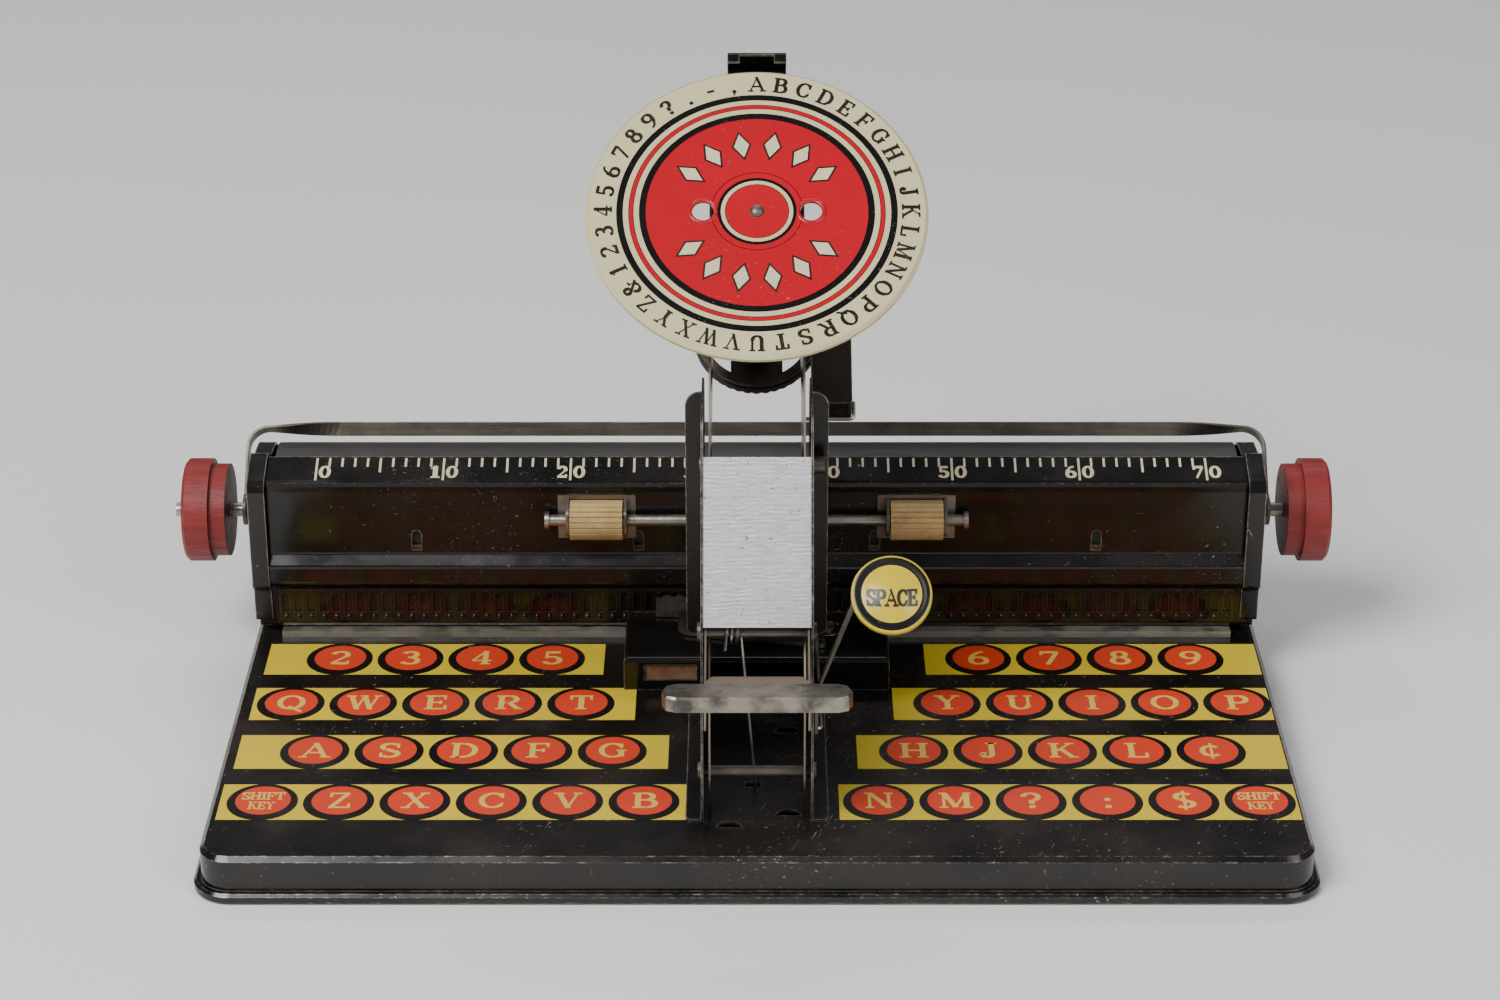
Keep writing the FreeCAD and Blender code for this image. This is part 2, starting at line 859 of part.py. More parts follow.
def feed_rod():
    rod = cross_rod(feed_place, feed_rod_r, -feed_rod_half, feed_rod_half)
    for x0 in (-feed_rod_half - feed_head, feed_rod_half):
        rod = rod.fuse(cross_rod(feed_place, feed_head_r, x0, x0 + feed_head))
    return rod.removeSplitter()


def feed_bracket(x):
    inside = feed_length / 2 + slide_gap
    outside = inside + feed_tab
    low = feed_z - feed_window_z / 2
    high = low + feed_window_z
    hole_low = low + 1.2
    front = feed_y - feed_tab_reach
    margin = 2.4
    plate_edge = hood_y - tin
    plate = box(x - outside - margin, x + outside + margin, plate_edge, hood_y, low, high)
    plate = plate.cut(box(x - inside, x + inside, plate_edge - 1, hood_y + 1, hole_low, high - 1.2))
    for side in (-1, 1):
        near = x + side * inside
        far = x + side * outside
        x0 = min(near, far)
        ear = side_prism(
            [(front, feed_z - 3.2, 1.5), (hood_y, low), (hood_y, high), (front, feed_z + 3.2, 1.5)],
            x0,
            x0 + feed_tab,
        )
        plate = plate.fuse(ear)
    return plate.cut(cross_rod(feed_place, feed_rod_r + pin_gap, x - 20, x + 20)).removeSplitter()


def feed_bracket_left():
    return feed_bracket(-feed_x)


def feed_bracket_right():
    return feed_bracket(feed_x)


# Frame plates with foot and rear flange, front cover and pins
def frame_outline():
    low = cover_at(0, -0.3)
    high = cover_at(cover_long, -0.3)
    return [
        (frame_front, 0),
        (frame_back, 0),
        (frame_back, frame_top, 9.0),
        (high[0] + 5.0, frame_top, 6.0),
        (high[0], high[1], 8.0),
        (low[0], low[1], 12.0),
        (frame_front, 14.0, 10.0),
    ]


def frame_plate():
    plate = side_prism(frame_outline(), frame_x, frame_out)
    foot = plan_prism(
        [
            (frame_x, frame_front, 0),
            (frame_out + foot_width, frame_front, 1.5),
            (frame_out + foot_width, frame_back, 1.5),
            (frame_x, frame_back, 0),
        ],
        0,
        tin,
    )
    flange_face = [
        (frame_x, flange_low),
        (frame_out + flange_width, flange_low, 2.0),
        (frame_out + flange_width, flange_top, 4.0),
        (frame_x, flange_top),
    ]
    flange = Part.Face(outline(flange_face, front_plane)).extrude(vec(0, tin, 0))
    flange.translate(vec(0, frame_back - tin, 0))
    plate = plate.fuse(foot).fuse(flange)
    for place, radius in ((arm_pivot, pivot_r), (lever_pivot, pivot_r), (stop_place, stop_r)):
        plate = plate.cut(cross_rod(place, radius, frame_x - 1, frame_out + 1))
    return plate.removeSplitter()


def frame_right():
    return frame_plate().cut(cross_rod(space_pivot, pivot_r, frame_x - 1, frame_out + 1))


def frame_left():
    return mirrored(frame_plate())


def front_cover():
    x = frame_x - pin_gap
    corners = [cover_at(0, 0), cover_at(cover_long, 0), cover_at(cover_long, tin), cover_at(0, tin)]
    cover = side_prism(corners, -x, x)
    start = cover_flange_start
    side = [
        cover_at(start, 0),
        cover_at(cover_long, 0),
        cover_at(cover_long, cover_flange) + (2.0,),
        cover_at(start, cover_flange) + (2.0,),
    ]
    for x0 in (-x, x - tin):
        cover = cover.fuse(side_prism(side, x0, x0 + tin))
    return cover.removeSplitter()


def headed_pin(place, radius, left, right):
    pin = cross_rod(place, radius, -left, right)
    pin = pin.fuse(cross_rod(place, head_r, -left, -left + head_thick))
    pin = pin.fuse(cross_rod(place, head_r, right - head_thick, right))
    return pin.removeSplitter()


def arm_pivot_pin():
    reach = frame_out + head_thick
    return headed_pin(arm_pivot, pivot_r, reach, reach)


def lever_pivot_pin():
    reach = frame_out + head_thick
    return headed_pin(lever_pivot, pivot_r, reach, reach)


def stop_rod():
    rod = headed_pin(stop_place, stop_r, frame_out + head_thick, frame_out + head_thick)
    collar = cross_rod(stop_place, head_r, frame_out, frame_out + stop_collar)
    return rod.fuse(collar).removeSplitter()


# Head arm: two stamped plates with a slot for the link pin and an arc slot for the stop rod
def arc_slot(start_angle, end_angle, radius, half_width):
    """The cutter for a slot along an arc about the arm's pivot, in degrees."""

    def at(r, degrees):
        turn = math.radians(degrees)
        return vec(arm_x - 1, arm_pivot[0] + r * math.cos(turn), arm_pivot[1] + r * math.sin(turn))

    middle = (start_angle + end_angle) / 2
    inner = radius - half_width
    outer = radius + half_width
    edges = [
        Part.Arc(at(outer, start_angle), at(outer, middle), at(outer, end_angle)).toShape(),
        Part.makeLine(at(outer, end_angle), at(inner, end_angle)),
        Part.Arc(at(inner, end_angle), at(inner, middle), at(inner, start_angle)).toShape(),
        Part.makeLine(at(inner, start_angle), at(outer, start_angle)),
    ]
    return Part.Face(Part.Wire(edges)).extrude(vec(arm_plate + 2, 0, 0))


def bearing_turn(place):
    return math.degrees(math.atan2(place[1] - arm_pivot[1], place[0] - arm_pivot[0]))


def arm_outline():
    clear = pivot_r + 0.8
    return [
        (arm_pivot[0] - 5.5, arm_pivot[1] - 5.5, 5.0),
        (arm_pivot[0] + 5.5, arm_pivot[1] - 5.5, 5.0),
        arm_low + (10.0,),
        arm_high + (12.0,),
        dial_at(arm_end, arm_half_band) + (3.0,),
        dial_at(arm_end, -arm_half_band) + (5.0,),
        dial_at(arm_start, -arm_half_band) + (3.0,),
        dial_at(arm_start, arm_half_band) + (3.0,),
        cover_at(cover_long + 10.0, 3.2) + (6.0,),
        cover_at(8.0, 3.2) + (3.0,),
        (lever_pivot[0] + clear + 0.4, lever_pivot[1] - 3.0, 1.5),
        (link_place[0] - 4.0, link_place[1] + 2.2, 2.0),
        (link_place[0] - 4.0, link_place[1] - 6.0, 2.0),
    ]


def arm_right_plate():
    plate = side_prism(arm_outline(), arm_x, arm_out)
    plate = plate.cut(cross_rod(arm_pivot, pivot_r + pin_gap, arm_x - 1, arm_out + 1))
    slot_r = link_pin_r + link_play
    turn = math.radians(bearing_turn(link_place))
    ends = []
    for along in (link_near - link_play, link_far + link_play):
        place = (arm_pivot[0] + along * math.cos(turn), arm_pivot[1] + along * math.sin(turn))
        ends.append(place)
        plate = plate.cut(cross_rod(place, slot_r, arm_x - 1, arm_out + 1))
    aside = (-math.sin(turn) * slot_r, math.cos(turn) * slot_r)
    gate = [
        (ends[0][0] + aside[0], ends[0][1] + aside[1]),
        (ends[0][0] - aside[0], ends[0][1] - aside[1]),
        (ends[1][0] - aside[0], ends[1][1] - aside[1]),
        (ends[1][0] + aside[0], ends[1][1] + aside[1]),
    ]
    plate = plate.cut(side_prism(gate, arm_x - 1, arm_out + 1))
    stop_at = bearing_turn(stop_place)
    stop_far = math.hypot(stop_place[0] - arm_pivot[0], stop_place[1] - arm_pivot[1])
    spare = math.degrees((stop_r + slide_gap) / stop_far)
    slot = arc_slot(stop_at - spare, stop_at + head_swing + spare, stop_far, stop_r + slide_gap)
    return plate.cut(slot)


def arm_left_plate():
    return mirrored(arm_right_plate())


def arm_web():
    """A cross plate just inside the arm plates' lower edge."""
    x = arm_x - touch
    line = unit(arm_low, arm_high)
    path = []
    for along in (web_start, web_end):
        y = arm_low[0] + line[0] * along - line[1] * web_in
        z = arm_low[1] + line[1] * along + line[0] * web_in
        path.append((y, z))
    return side_prism(folded(path, tin), -x, x)


def spindle_bearing(t0, boss_side):
    """A cross plate between the arm plates with a boss round the spindle."""
    x = arm_x - touch
    half = arm_half_band - 1.0
    plate = dial_prism([(-x, -half, 1.0), (x, -half, 1.0), (x, half, 1.0), (-x, half, 1.0)], t0, t0 + bearing_plate)
    start = t0 if boss_side > 0 else t0 - bearing_boss
    end = t0 + bearing_plate + bearing_boss if boss_side > 0 else t0 + bearing_plate
    plate = plate.fuse(dial_round(bearing_boss_r, start, end))
    return plate.cut(dial_round(spindle_r + pin_gap, start - 1, end + 1)).removeSplitter()


bearing_high_at = arm_start + 1.0


def spindle_bearing_upper():
    return spindle_bearing(bearing_high_at, 1)


def spindle_bearing_lower():
    return spindle_bearing(bearing_low_at, -1)


def pointer():
    half = pointer_width / 2
    back_t = bearing_high_at - tin
    over = -(dial_r + pointer_over)

    def at(down, t):
        return dial_at(t, down)

    path = [
        at(-4.5, back_t),
        at(over, back_t) + (1.5,),
        at(over, -pointer_front) + (0.6,),
        at(over + prong_length, -pointer_front),
    ]
    strip = side_prism(folded(path[::-1], tin), -half, half)
    gap_half = half - prong_width
    cutter = dial_prism(
        [(-gap_half, over + tin + 0.2), (gap_half, over + tin + 0.2), (gap_half, over + 12), (-gap_half, over + 12)],
        -pointer_front - 2,
        -pointer_front + 1.5,
    )
    return strip.cut(cutter)


# Dial, hub, spindle and type wheel
def dial_disc():
    section = [
        (spindle_r + touch, 0),
        (dial_r, 0, dial_edge),
        (dial_r, dial_rim),
        (dial_r - tin, dial_rim),
        (dial_r - tin, tin),
        (spindle_r + touch, tin),
    ]

    def plane(radius, t):
        return vec(radius, 0, -t)

    disc = Part.Face(outline(section, plane)).revolve(vec(0, 0, 0), vec(0, 0, 1), 360)
    disc.rotate(vec(0, 0, 0), vec(1, 0, 0), 90 - dial_tilt)
    disc.translate(vec(0, dial_centre[0], dial_centre[1]))
    for side in (-1, 1):
        disc = disc.cut(dial_round(finger_r, -1, 2, side * finger_x))
    return disc


def dial_hub():
    hub = dial_round(hub_r, tin, tin + 1.0).fuse(dial_round(hub_r * 0.6, tin, tin + hub_long))
    return hub.cut(dial_round(spindle_r, 0, tin + hub_long + 1)).removeSplitter()


def spindle():
    return dial_round(spindle_r, 0, type_face_t - 0.5)


def type_wheel_core():
    wheel = dial_round(ring_outer - 0.4, wheel_start, ring_start)
    for side in (-1, 1):
        far = side * ring_outer
        near = side * wheel_bar / 2
        x0 = min(far, near)
        gap = dial_round(ring_inner, wheel_start - 1, ring_start + 1)
        half = dial_prism(
            [(x0, -ring_outer), (max(far, near), -ring_outer), (max(far, near), ring_outer), (x0, ring_outer)],
            wheel_start - 1,
            ring_start + 1,
        )
        wheel = wheel.cut(gap.common(half))
    wheel = wheel.fuse(dial_round(wheel_hub_r, wheel_start - wheel_hub_long + wheel_plate, ring_start))
    return wheel.cut(dial_round(spindle_r, wheel_start - 10, ring_start + 1)).removeSplitter()


def type_ring():
    ring = dial_round(ring_outer, ring_start, ring_end)
    ring = ring.cut(dial_round(ring_inner, ring_start - 1, ring_end + 1))
    half = type_wide / 2
    y, z = dial_at(0, 0)
    for i in range(type_count):
        block = dial_prism(
            [
                (-half, type_radius - type_deep / 2),
                (half, type_radius - type_deep / 2),
                (half, type_radius + type_deep / 2),
                (-half, type_radius + type_deep / 2),
            ],
            ring_end - 0.1,
            type_face_t,
        )
        block.rotate(vec(0, y, z), along_spindle(1), 360.0 * i / type_count)
        ring = ring.fuse(block)
    return ring.removeSplitter()


# Ink box beside the type wheel: a closed tin above the wheel's rim with a finger that reaches under it
def dial_box(x0, x1, down0, down1, t0, t1):
    return dial_prism([(x0, down0), (x1, down0), (x1, down1), (x0, down1)], t0, t1)


def ink_box():
    x0 = ink_box_x
    x1 = x0 + ink_box_wide
    wall = ink_box_wall
    ends = [(x0, ink_back, 1.0), (x1, ink_back, 1.0), (x1, ink_front, 1.0), (x0, ink_front, 1.0)]
    body = dial_prism(ends, ink_high, ink_low)
    body = body.cut(
        dial_box(x0 + wall, x1 - wall, ink_back + wall, ink_front - wall, ink_high + wall, ink_low - wall)
    )
    finger = dial_box(x1 - wall, x1, ink_back + 1.0, ink_finger, ink_low - wall, felt_low + wall)
    shelf = dial_box(x0 + wall, x1, ink_back + 1.0, ink_finger, felt_low, felt_low + wall)
    return body.fuse(finger).fuse(shelf).removeSplitter()


def ink_felt():
    wall = ink_box_wall
    start = type_face_t + slide_gap
    x0 = ink_box_x + wall
    x1 = ink_box_x + ink_box_wide - wall
    return dial_box(x0, x1 - touch, ink_back + 1.0 + wall, ink_finger - wall, start, felt_low)


def ink_bracket():
    """A folded tab from the right arm plate to the top of the ink box."""
    near = arm_out
    leg = dial_box(near, near + tin, -ink_tab, ink_tab, ink_high - 6.0, ink_high)
    shelf = dial_box(near, ink_box_x + 4.0, -ink_tab, ink_tab, ink_high - tin, ink_high)
    return leg.fuse(shelf).removeSplitter()


def ink_clip():
    """Bent wire hook round the front end of the ink box."""
    r = ink_clip_wire / 2
    x0 = arm_out + r + touch
    x1 = ink_box_x + ink_box_wide + r + touch
    down = ink_front + r + touch
    bend = 1.1 * ink_clip_wire
    cut = bend * (1 - math.sqrt(0.5))

    def at(x, d):
        y, z = dial_at(ink_low - r, d)
        return vec(x, y, z)

    edges = [
        Part.makeLine(at(x0, down), at(x1 - bend, down)),
        Part.Arc(at(x1 - bend, down), at(x1 - cut, down - cut), at(x1, down - bend)).toShape(),
        Part.makeLine(at(x1, down - bend), at(x1, down - bend - ink_clip_back)),
    ]
    return wire_pipe(edges, ink_clip_wire)


# Print lever: a channel with two side plates, a folded handle and the link pin
lever_top_z = 42.0
lever_front_y = 10.0


def lever_outline():
    lp = lever_pivot
    return [
        (lever_front_y, 30.0, 2.0),
        (link_place[0] + 1.0, link_place[1] - 3.6, 3.0),
        (link_place[0] + 4.6, link_place[1] - 1.0, 2.5),
        (lp[0] + 3.6, lp[1] - 1.0, 3.0),
        (lp[0] + 2.4, lp[1] + 3.4, 2.6),
        (lp[0] - 3.4, lp[1] + 2.6, 2.6),
        (lever_front_y + 8.0, lever_top_z, 3.0),
        (lever_front_y, lever_top_z),
    ]


def lever_channel():
    side = side_prism(lever_outline(), lever_in, lever_out)
    top = plan_prism(
        [
            (-lever_out, lever_front_y),
            (lever_out, lever_front_y),
            (lever_out, lever_front_y + 4.0, 1.0),
            (lever_out - 1.8, lever_front_y + 7.5, 1.0),
            (1.8 - lever_out, lever_front_y + 7.5, 1.0),
            (-lever_out, lever_front_y + 4.0, 1.0),
        ],
        lever_top_z - lever_plate,
        lever_top_z,
    )
    channel = side.fuse(mirrored(side)).fuse(top)
    channel = channel.cut(cross_rod(lever_pivot, pivot_r + pin_gap, -lever_out - 1, lever_out + 1))
    channel = channel.cut(cross_rod(link_place, link_pin_r, -lever_out - 1, lever_out + 1))
    return channel.removeSplitter()


def print_handle():
    z1 = lever_top_z + handle_thick
    y0 = 4.0
    y1 = lever_front_y + 2.0
    bar = plan_prism(
        [(-handle_half, y0, 3.5), (handle_half, y0, 3.5), (handle_half, y1, 3.5), (-handle_half, y1, 3.5)],
        lever_top_z,
        z1,
    )
    lip = plan_prism(
        [(-handle_half, y0, 3.5), (handle_half, y0, 3.5), (handle_half, y1, 3.5), (-handle_half, y1, 3.5)],
        lever_top_z - handle_lip + handle_thick,
        z1,
    )
    wall = handle_thick
    core = plan_prism(
        [
            (-handle_half + wall, y0 + wall, 2.3),
            (handle_half - wall, y0 + wall, 2.3),
            (handle_half - wall, y1 + 1),
            (-handle_half + wall, y1 + 1),
        ],
        lever_top_z - handle_lip,
        lever_top_z,
    )
    shell = lip.cut(core).fuse(bar)
    shell = shell.cut(box(-handle_half - 1, handle_half + 1, y1 - 3.5, y1 + 1, lever_top_z - handle_lip, lever_top_z))
    top_edges = edges_at(shell, [z1])
    return shell.makeChamfer(handle_edge, top_edges)


def lever_link_pin():
    return cross_rod(link_place, link_pin_r, -lever_out, lever_out)


# Space lever on the right frame plate, its cap, link and the pawl
space_x0 = frame_out + side_gap
space_x1 = space_x0 + space_plate


def space_lever():
    """A flat strip that leans out to the right above its pivot, with a short arm below it."""
    py, pz = space_pivot
    foot = side_prism(
        [
            (py - 2.4, pz - space_short - 2.4, 2.3),
            (py + 2.4, pz - space_short - 2.4, 2.3),
            (py + 3.2, pz + 3.4, 2.6),
            (py - 3.2, pz + 3.4, 2.6),
        ],
        space_x0,
        space_x1,
    )
    knee = (py - 0.6, pz + 2.0)
    tip_x, tip_y, tip_z = cap_place
    end_x = tip_x - cap_r + 1.0
    end = (tip_y + 1.6, tip_z - 1.6)
    half = 1.2

    def strip_at(x, place):
        corners = [
            vec(x, place[0] - half, place[1]),
            vec(x + space_plate, place[0] - half, place[1]),
            vec(x + space_plate, place[0] + half, place[1]),
            vec(x, place[0] + half, place[1]),
        ]
        return Part.makePolygon(corners + [corners[0]])

    arm = Part.makeLoft([strip_at(space_x0, knee), strip_at(end_x, end)], True, True)
    pad = Part.makeCylinder(0.5 * cap_r, 0.8, vec(tip_x, tip_y, tip_z), cap_normal() * -1)
    pad.translate(cap_normal() * -1.2)
    reach = box(end_x, tip_x, end[0] - half, end[0] + half, end[1] - 0.5, end[1] + 0.5)
    lever = foot.fuse(arm).fuse(reach).fuse(pad)
    lever = lever.cut(cross_rod(space_pivot, pivot_r + pin_gap, space_x0 - 1, space_x1 + 1))
    lever = lever.cut(cross_rod(space_link_place(), link_wire / 2 + 0.3, space_x0 - 1, space_x1 + 1))
    return lever.removeSplitter()


def cap_normal():
    turn = math.radians(cap_tilt)
    return vec(0, -math.cos(turn), math.sin(turn))


def space_cap():
    """A pressed disc with a domed middle and a rolled rim, open behind."""
    inside = cap_r - tin
    dome = [
        (0, 2.5),
        (0.42 * cap_r, 2.5),
        (0.74 * cap_r, 0.9),
        (cap_r, 0.9),
        (cap_r, -1.2),
        (inside, -1.2),
        (inside, 0.3),
        (0.7 * cap_r, 0.3),
        (0.38 * cap_r, 1.9),
        (0, 1.9),
    ]

    def plane(radius, height):
        return vec(radius, 0, height)

    cap = Part.Face(outline(dome, plane)).revolve(vec(0, 0, 0), vec(0, 0, 1), 360)
    cap.rotate(vec(0, 0, 0), vec(1, 0, 0), 90 - cap_tilt)
    x, y, z = cap_place
    cap.translate(vec(x, y, z))
    stem = Part.makeCylinder(1.6, 3.3, vec(x, y, z), cap_normal())
    stem.translate(cap_normal() * -1.2)
    return cap.fuse(stem)


def space_pivot_rivet():
    rivet = cross_rod(space_pivot, pivot_r, frame_x, space_x1 + pin_gap + head_thick)
    return rivet.fuse(cross_rod(space_pivot, head_r, space_x1 + pin_gap, space_x1 + pin_gap + head_thick))


def space_link_place():
    return (space_pivot[0], space_pivot[1] - space_short)


pawl_z0 = guide_height + slide_gap
pawl_z1 = pawl_z0 + pawl_plate
link_x = space_x1 + slide_gap + link_wire / 2
link_end = (link_x, guide_front + 8.0, pawl_z1 + slide_gap + link_wire)


def wire_bend(corner, from_way, on_way, bend):
    """A rounded corner of a wire between the unit ways back and on from it."""
    middle = (from_way + on_way) * (1 / (from_way + on_way).Length)
    half = math.acos(max(-1.0, min(1.0, from_way.dot(on_way)))) / 2
    radius = bend * math.tan(half)
    crown = corner + middle * (radius / math.sin(half) - radius)
    return Part.Arc(corner + from_way * bend, crown, corner + on_way * bend).toShape()


def space_link():
    """A straight wire with one end bent into the space lever and the other down into the pawl."""
    start = vec(link_x, space_link_place()[0], space_link_place()[1])
    end = vec(*link_end)
    bend = link_wire
    way = (end - start) * (1 / (end - start).Length)
    left = vec(-1, 0, 0)
    down = vec(0, 0, -1)
    edges = [
        Part.makeLine(start + left * (link_x - space_x0 + pin_gap), start + left * bend),
        wire_bend(start, left, way, bend),
        Part.makeLine(start + way * bend, end - way * bend),
        wire_bend(end, way * -1, down, bend),
        Part.makeLine(end + down * bend, vec(end.x, end.y, pawl_z0 + pin_gap)),
    ]
    return wire_pipe(edges, link_wire)


def spacing_pawl():
    """A flat plate on the guide with an upright toothed edge in front of the rack."""
    px, py = pawl_pivot
    wall_y = hood_y - rack_thick - 1.1
    hole_x, hole_y, _ = link_end
    plate = plan_prism(
        [
            (px - 4.5, py - 4.5, 4.0),
            (hole_x - 2.0, hole_y - 2.4, 1.0),
            (hole_x + 2.6, hole_y - 2.4, 1.5),
            (hole_x + 2.6, hole_y + 2.4, 1.5),
            (px + 10.0, py - 1.0, 2.0),
            (px + 8.0, py + 6.0, 2.0),
            (14.0, py + 6.0, 1.0),
            (14.0, wall_y),
            (-28.0, wall_y),
            (-28.0, py + 6.0, 1.0),
            (px - 4.5, py + 6.0, 1.0),
        ],
        pawl_z0,
        pawl_z1,
    )
    crest = []
    waves = 12
    for i in range(waves):
        x = 14.0 - i * rack_pitch
        crest.append((x - 0.5, pawl_z0 + 3.4))
        crest.append((x - rack_pitch / 2, pawl_z0 + 2.5))
    edge = [(-28.0, pawl_z0), (14.0, pawl_z0)] + crest + [(-28.0, pawl_z0 + 2.5)]
    wall = Part.Face(outline(edge, front_plane)).extrude(vec(0, pawl_plate, 0))
    wall.translate(vec(0, wall_y - pawl_plate, 0))
    pawl = plate.fuse(wall)
    pawl = pawl.cut(post(px, py, rivet_r + pin_gap, pawl_z0 - 1, pawl_z1 + 1))
    slot = plan_prism(
        [
            (hole_x - 0.9, hole_y - 0.95, 0.5),
            (hole_x + 1.7, hole_y - 0.95, 0.5),
            (hole_x + 1.7, hole_y + 0.95, 0.5),
            (hole_x - 0.9, hole_y + 0.95, 0.5),
        ],
        pawl_z0 - 1,
        pawl_z1 + 1,
    )
    return pawl.cut(slot).removeSplitter()


# Guide box in front of the carriage, with its rivets and leaf spring
def carriage_guide():
    outer = box(-guide_half, guide_half, guide_front, guide_back, 0, guide_height)
    rounded = []
    for edge in outer.Edges:
        bounds = edge.BoundBox
        if bounds.ZMin > guide_height - 1e-5 and bounds.YMin < guide_back - 1:
            rounded.append(edge)
    outer = outer.makeFillet(1.2, rounded)
    wall = tin
    hollow = box(-guide_half + wall, guide_half - wall, guide_front + wall, guide_back + 1, -1, guide_height - wall)
    guide = outer.cut(hollow)
    guide = guide.cut(box(window_left, window_right, guide_front - 1, guide_front + 1, window_low, window_high))
    for x in (pawl_pivot[0], guide_rivet_x):
        guide = guide.cut(post(x, pawl_pivot[1], rivet_r, guide_height - 2, guide_height + 1))
    return guide


def guide_rivets():
    y = pawl_pivot[1]
    low = guide_height - tin - rivet_head
    pair = []
    for x, top in ((pawl_pivot[0], pawl_z1 + pin_gap), (guide_rivet_x, guide_height)):
        rivet = post(x, y, rivet_r, low, top + rivet_head)
        rivet = rivet.fuse(post(x, y, rivet_head_r, top, top + rivet_head))
        pair.append(rivet.removeSplitter())
    return Part.makeCompound(pair)


def guide_leaf():
    """A flat spring behind the guide's window, on a foot at its left end."""
    y0 = guide_front + tin + touch
    y1 = y0 + leaf_thick
    left = leaf_left + leaf_foot
    strip = box(leaf_left, leaf_right, y0, y1, leaf_low, guide_height - tin - leaf_gap)
    return strip.fuse(box(leaf_left, left, y0, y1, 0, leaf_low)).removeSplitter()


NODES = [
    base_shell,
    carriage_rail_front,
    carriage_rail_rear,
    carriage_guide,
    guide_rivets,
    guide_leaf,
    frame_left,
    frame_right,
    front_cover,
    arm_pivot_pin,
    lever_pivot_pin,
    stop_rod,
    return_spring,
    space_pivot_rivet,
    carriage_hood,
    carriage_rear,
    carriage_end_left,
    carriage_end_right,
    rack_strip,
    paper_pan,
    feed_bracket_left,
    feed_bracket_right,
    bail_spring,
    feed_rod,
    feed_roller_left,
    feed_roller_right,
    platen_roller,
    platen_end_plugs,
    platen_shaft,
    knob_left,
    knob_right,
    paper_bail,
    arm_left_plate,
    arm_right_plate,
    arm_web,
    spindle_bearing_upper,
    spindle_bearing_lower,
    pointer,
    ink_box,
    ink_felt,
    ink_bracket,
    ink_clip,
    dial_disc,
    dial_hub,
    spindle,
    type_wheel_core,
    type_ring,
    lever_channel,
    print_handle,
    lever_link_pin,
    space_lever,
    space_cap,
    space_link,
    spacing_pawl,
]

os.makedirs("parts", exist_ok=True)
for make in NODES:
    shape = make()
    shape.translate(vec(0, -base_depth / 2, base_height))
    if not shape.isValid():
        print("not valid:", make.__name__)
    shape.exportStep("parts/" + make.__name__ + ".step")
print("head swing", round(head_swing, 3), "type face", round(type_face_t, 3))
print("head to lever ratio", round(head_swing / lever_travel, 5))
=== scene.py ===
"""Toy index typewriter in printed tin: prints, scale, dial face, space cap, finishes and stage.

Sizes are metres unless a name ends in _mm. X runs to the right, Y to the back and Z up.
"""
import math
import bpy
import bmesh
from bpy.props import FloatProperty, FloatVectorProperty, IntProperty, PointerProperty
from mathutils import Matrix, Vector


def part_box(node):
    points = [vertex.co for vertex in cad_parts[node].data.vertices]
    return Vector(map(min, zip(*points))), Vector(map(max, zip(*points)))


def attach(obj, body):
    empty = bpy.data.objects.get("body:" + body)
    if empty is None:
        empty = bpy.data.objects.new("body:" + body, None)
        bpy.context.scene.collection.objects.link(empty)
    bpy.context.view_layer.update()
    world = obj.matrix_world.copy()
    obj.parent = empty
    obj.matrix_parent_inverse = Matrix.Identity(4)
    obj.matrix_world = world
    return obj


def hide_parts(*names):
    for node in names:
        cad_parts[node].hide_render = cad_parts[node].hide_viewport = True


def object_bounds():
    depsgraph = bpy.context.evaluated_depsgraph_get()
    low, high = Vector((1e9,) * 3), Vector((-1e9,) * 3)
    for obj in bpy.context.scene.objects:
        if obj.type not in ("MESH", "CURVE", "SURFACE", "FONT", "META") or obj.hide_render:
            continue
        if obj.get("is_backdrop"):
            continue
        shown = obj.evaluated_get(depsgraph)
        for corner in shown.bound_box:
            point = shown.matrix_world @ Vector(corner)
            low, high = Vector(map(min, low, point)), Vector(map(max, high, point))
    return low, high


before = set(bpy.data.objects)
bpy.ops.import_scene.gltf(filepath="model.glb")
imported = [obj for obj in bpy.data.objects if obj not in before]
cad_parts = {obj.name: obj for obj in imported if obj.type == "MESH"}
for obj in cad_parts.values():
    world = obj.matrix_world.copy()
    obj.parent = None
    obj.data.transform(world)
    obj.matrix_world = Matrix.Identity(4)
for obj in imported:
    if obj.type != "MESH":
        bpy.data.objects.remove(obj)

bl_info = {
    "name": "Index typewriter",
    "version": (1, 0, 0),
    "blender": (4, 5, 0),
    "location": "View3D > Sidebar > Typewriter",
    "description": "Printed keyboard, scale, dial and finishes of a toy index typewriter",
    "category": "Object",
}

MM = 0.001
# Thickness of the dial's and the scale's print
PRINT = 0.00004
RIGHT = Vector((1, 0, 0))
BACK = Vector((0, 1, 0))
UP = Vector((0, 0, 1))

# Places taken from the solid pieces
BASE_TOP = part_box("base_shell")[1].z
GUIDE_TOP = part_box("carriage_guide")[1].z
BAIL_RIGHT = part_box("paper_bail")[1].x
RACK_LOW, RACK_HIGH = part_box("rack_strip")
PLATEN_LOW, PLATEN_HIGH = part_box("platen_roller")
PLATEN_AXIS = Vector((0, (PLATEN_LOW.y + PLATEN_HIGH.y) / 2, (PLATEN_LOW.z + PLATEN_HIGH.z) / 2))

# The dial's face: middle, way out of the face, way up along it, radius
DIAL_TILT = math.radians(54)
DIAL_PLACE = Vector((0, 0.0075, 0.1483))
DIAL_OUT = Vector((0, -math.cos(DIAL_TILT), math.sin(DIAL_TILT)))
DIAL_UP = Vector((0, math.sin(DIAL_TILT), math.cos(DIAL_TILT)))
DIAL_R = 0.0441

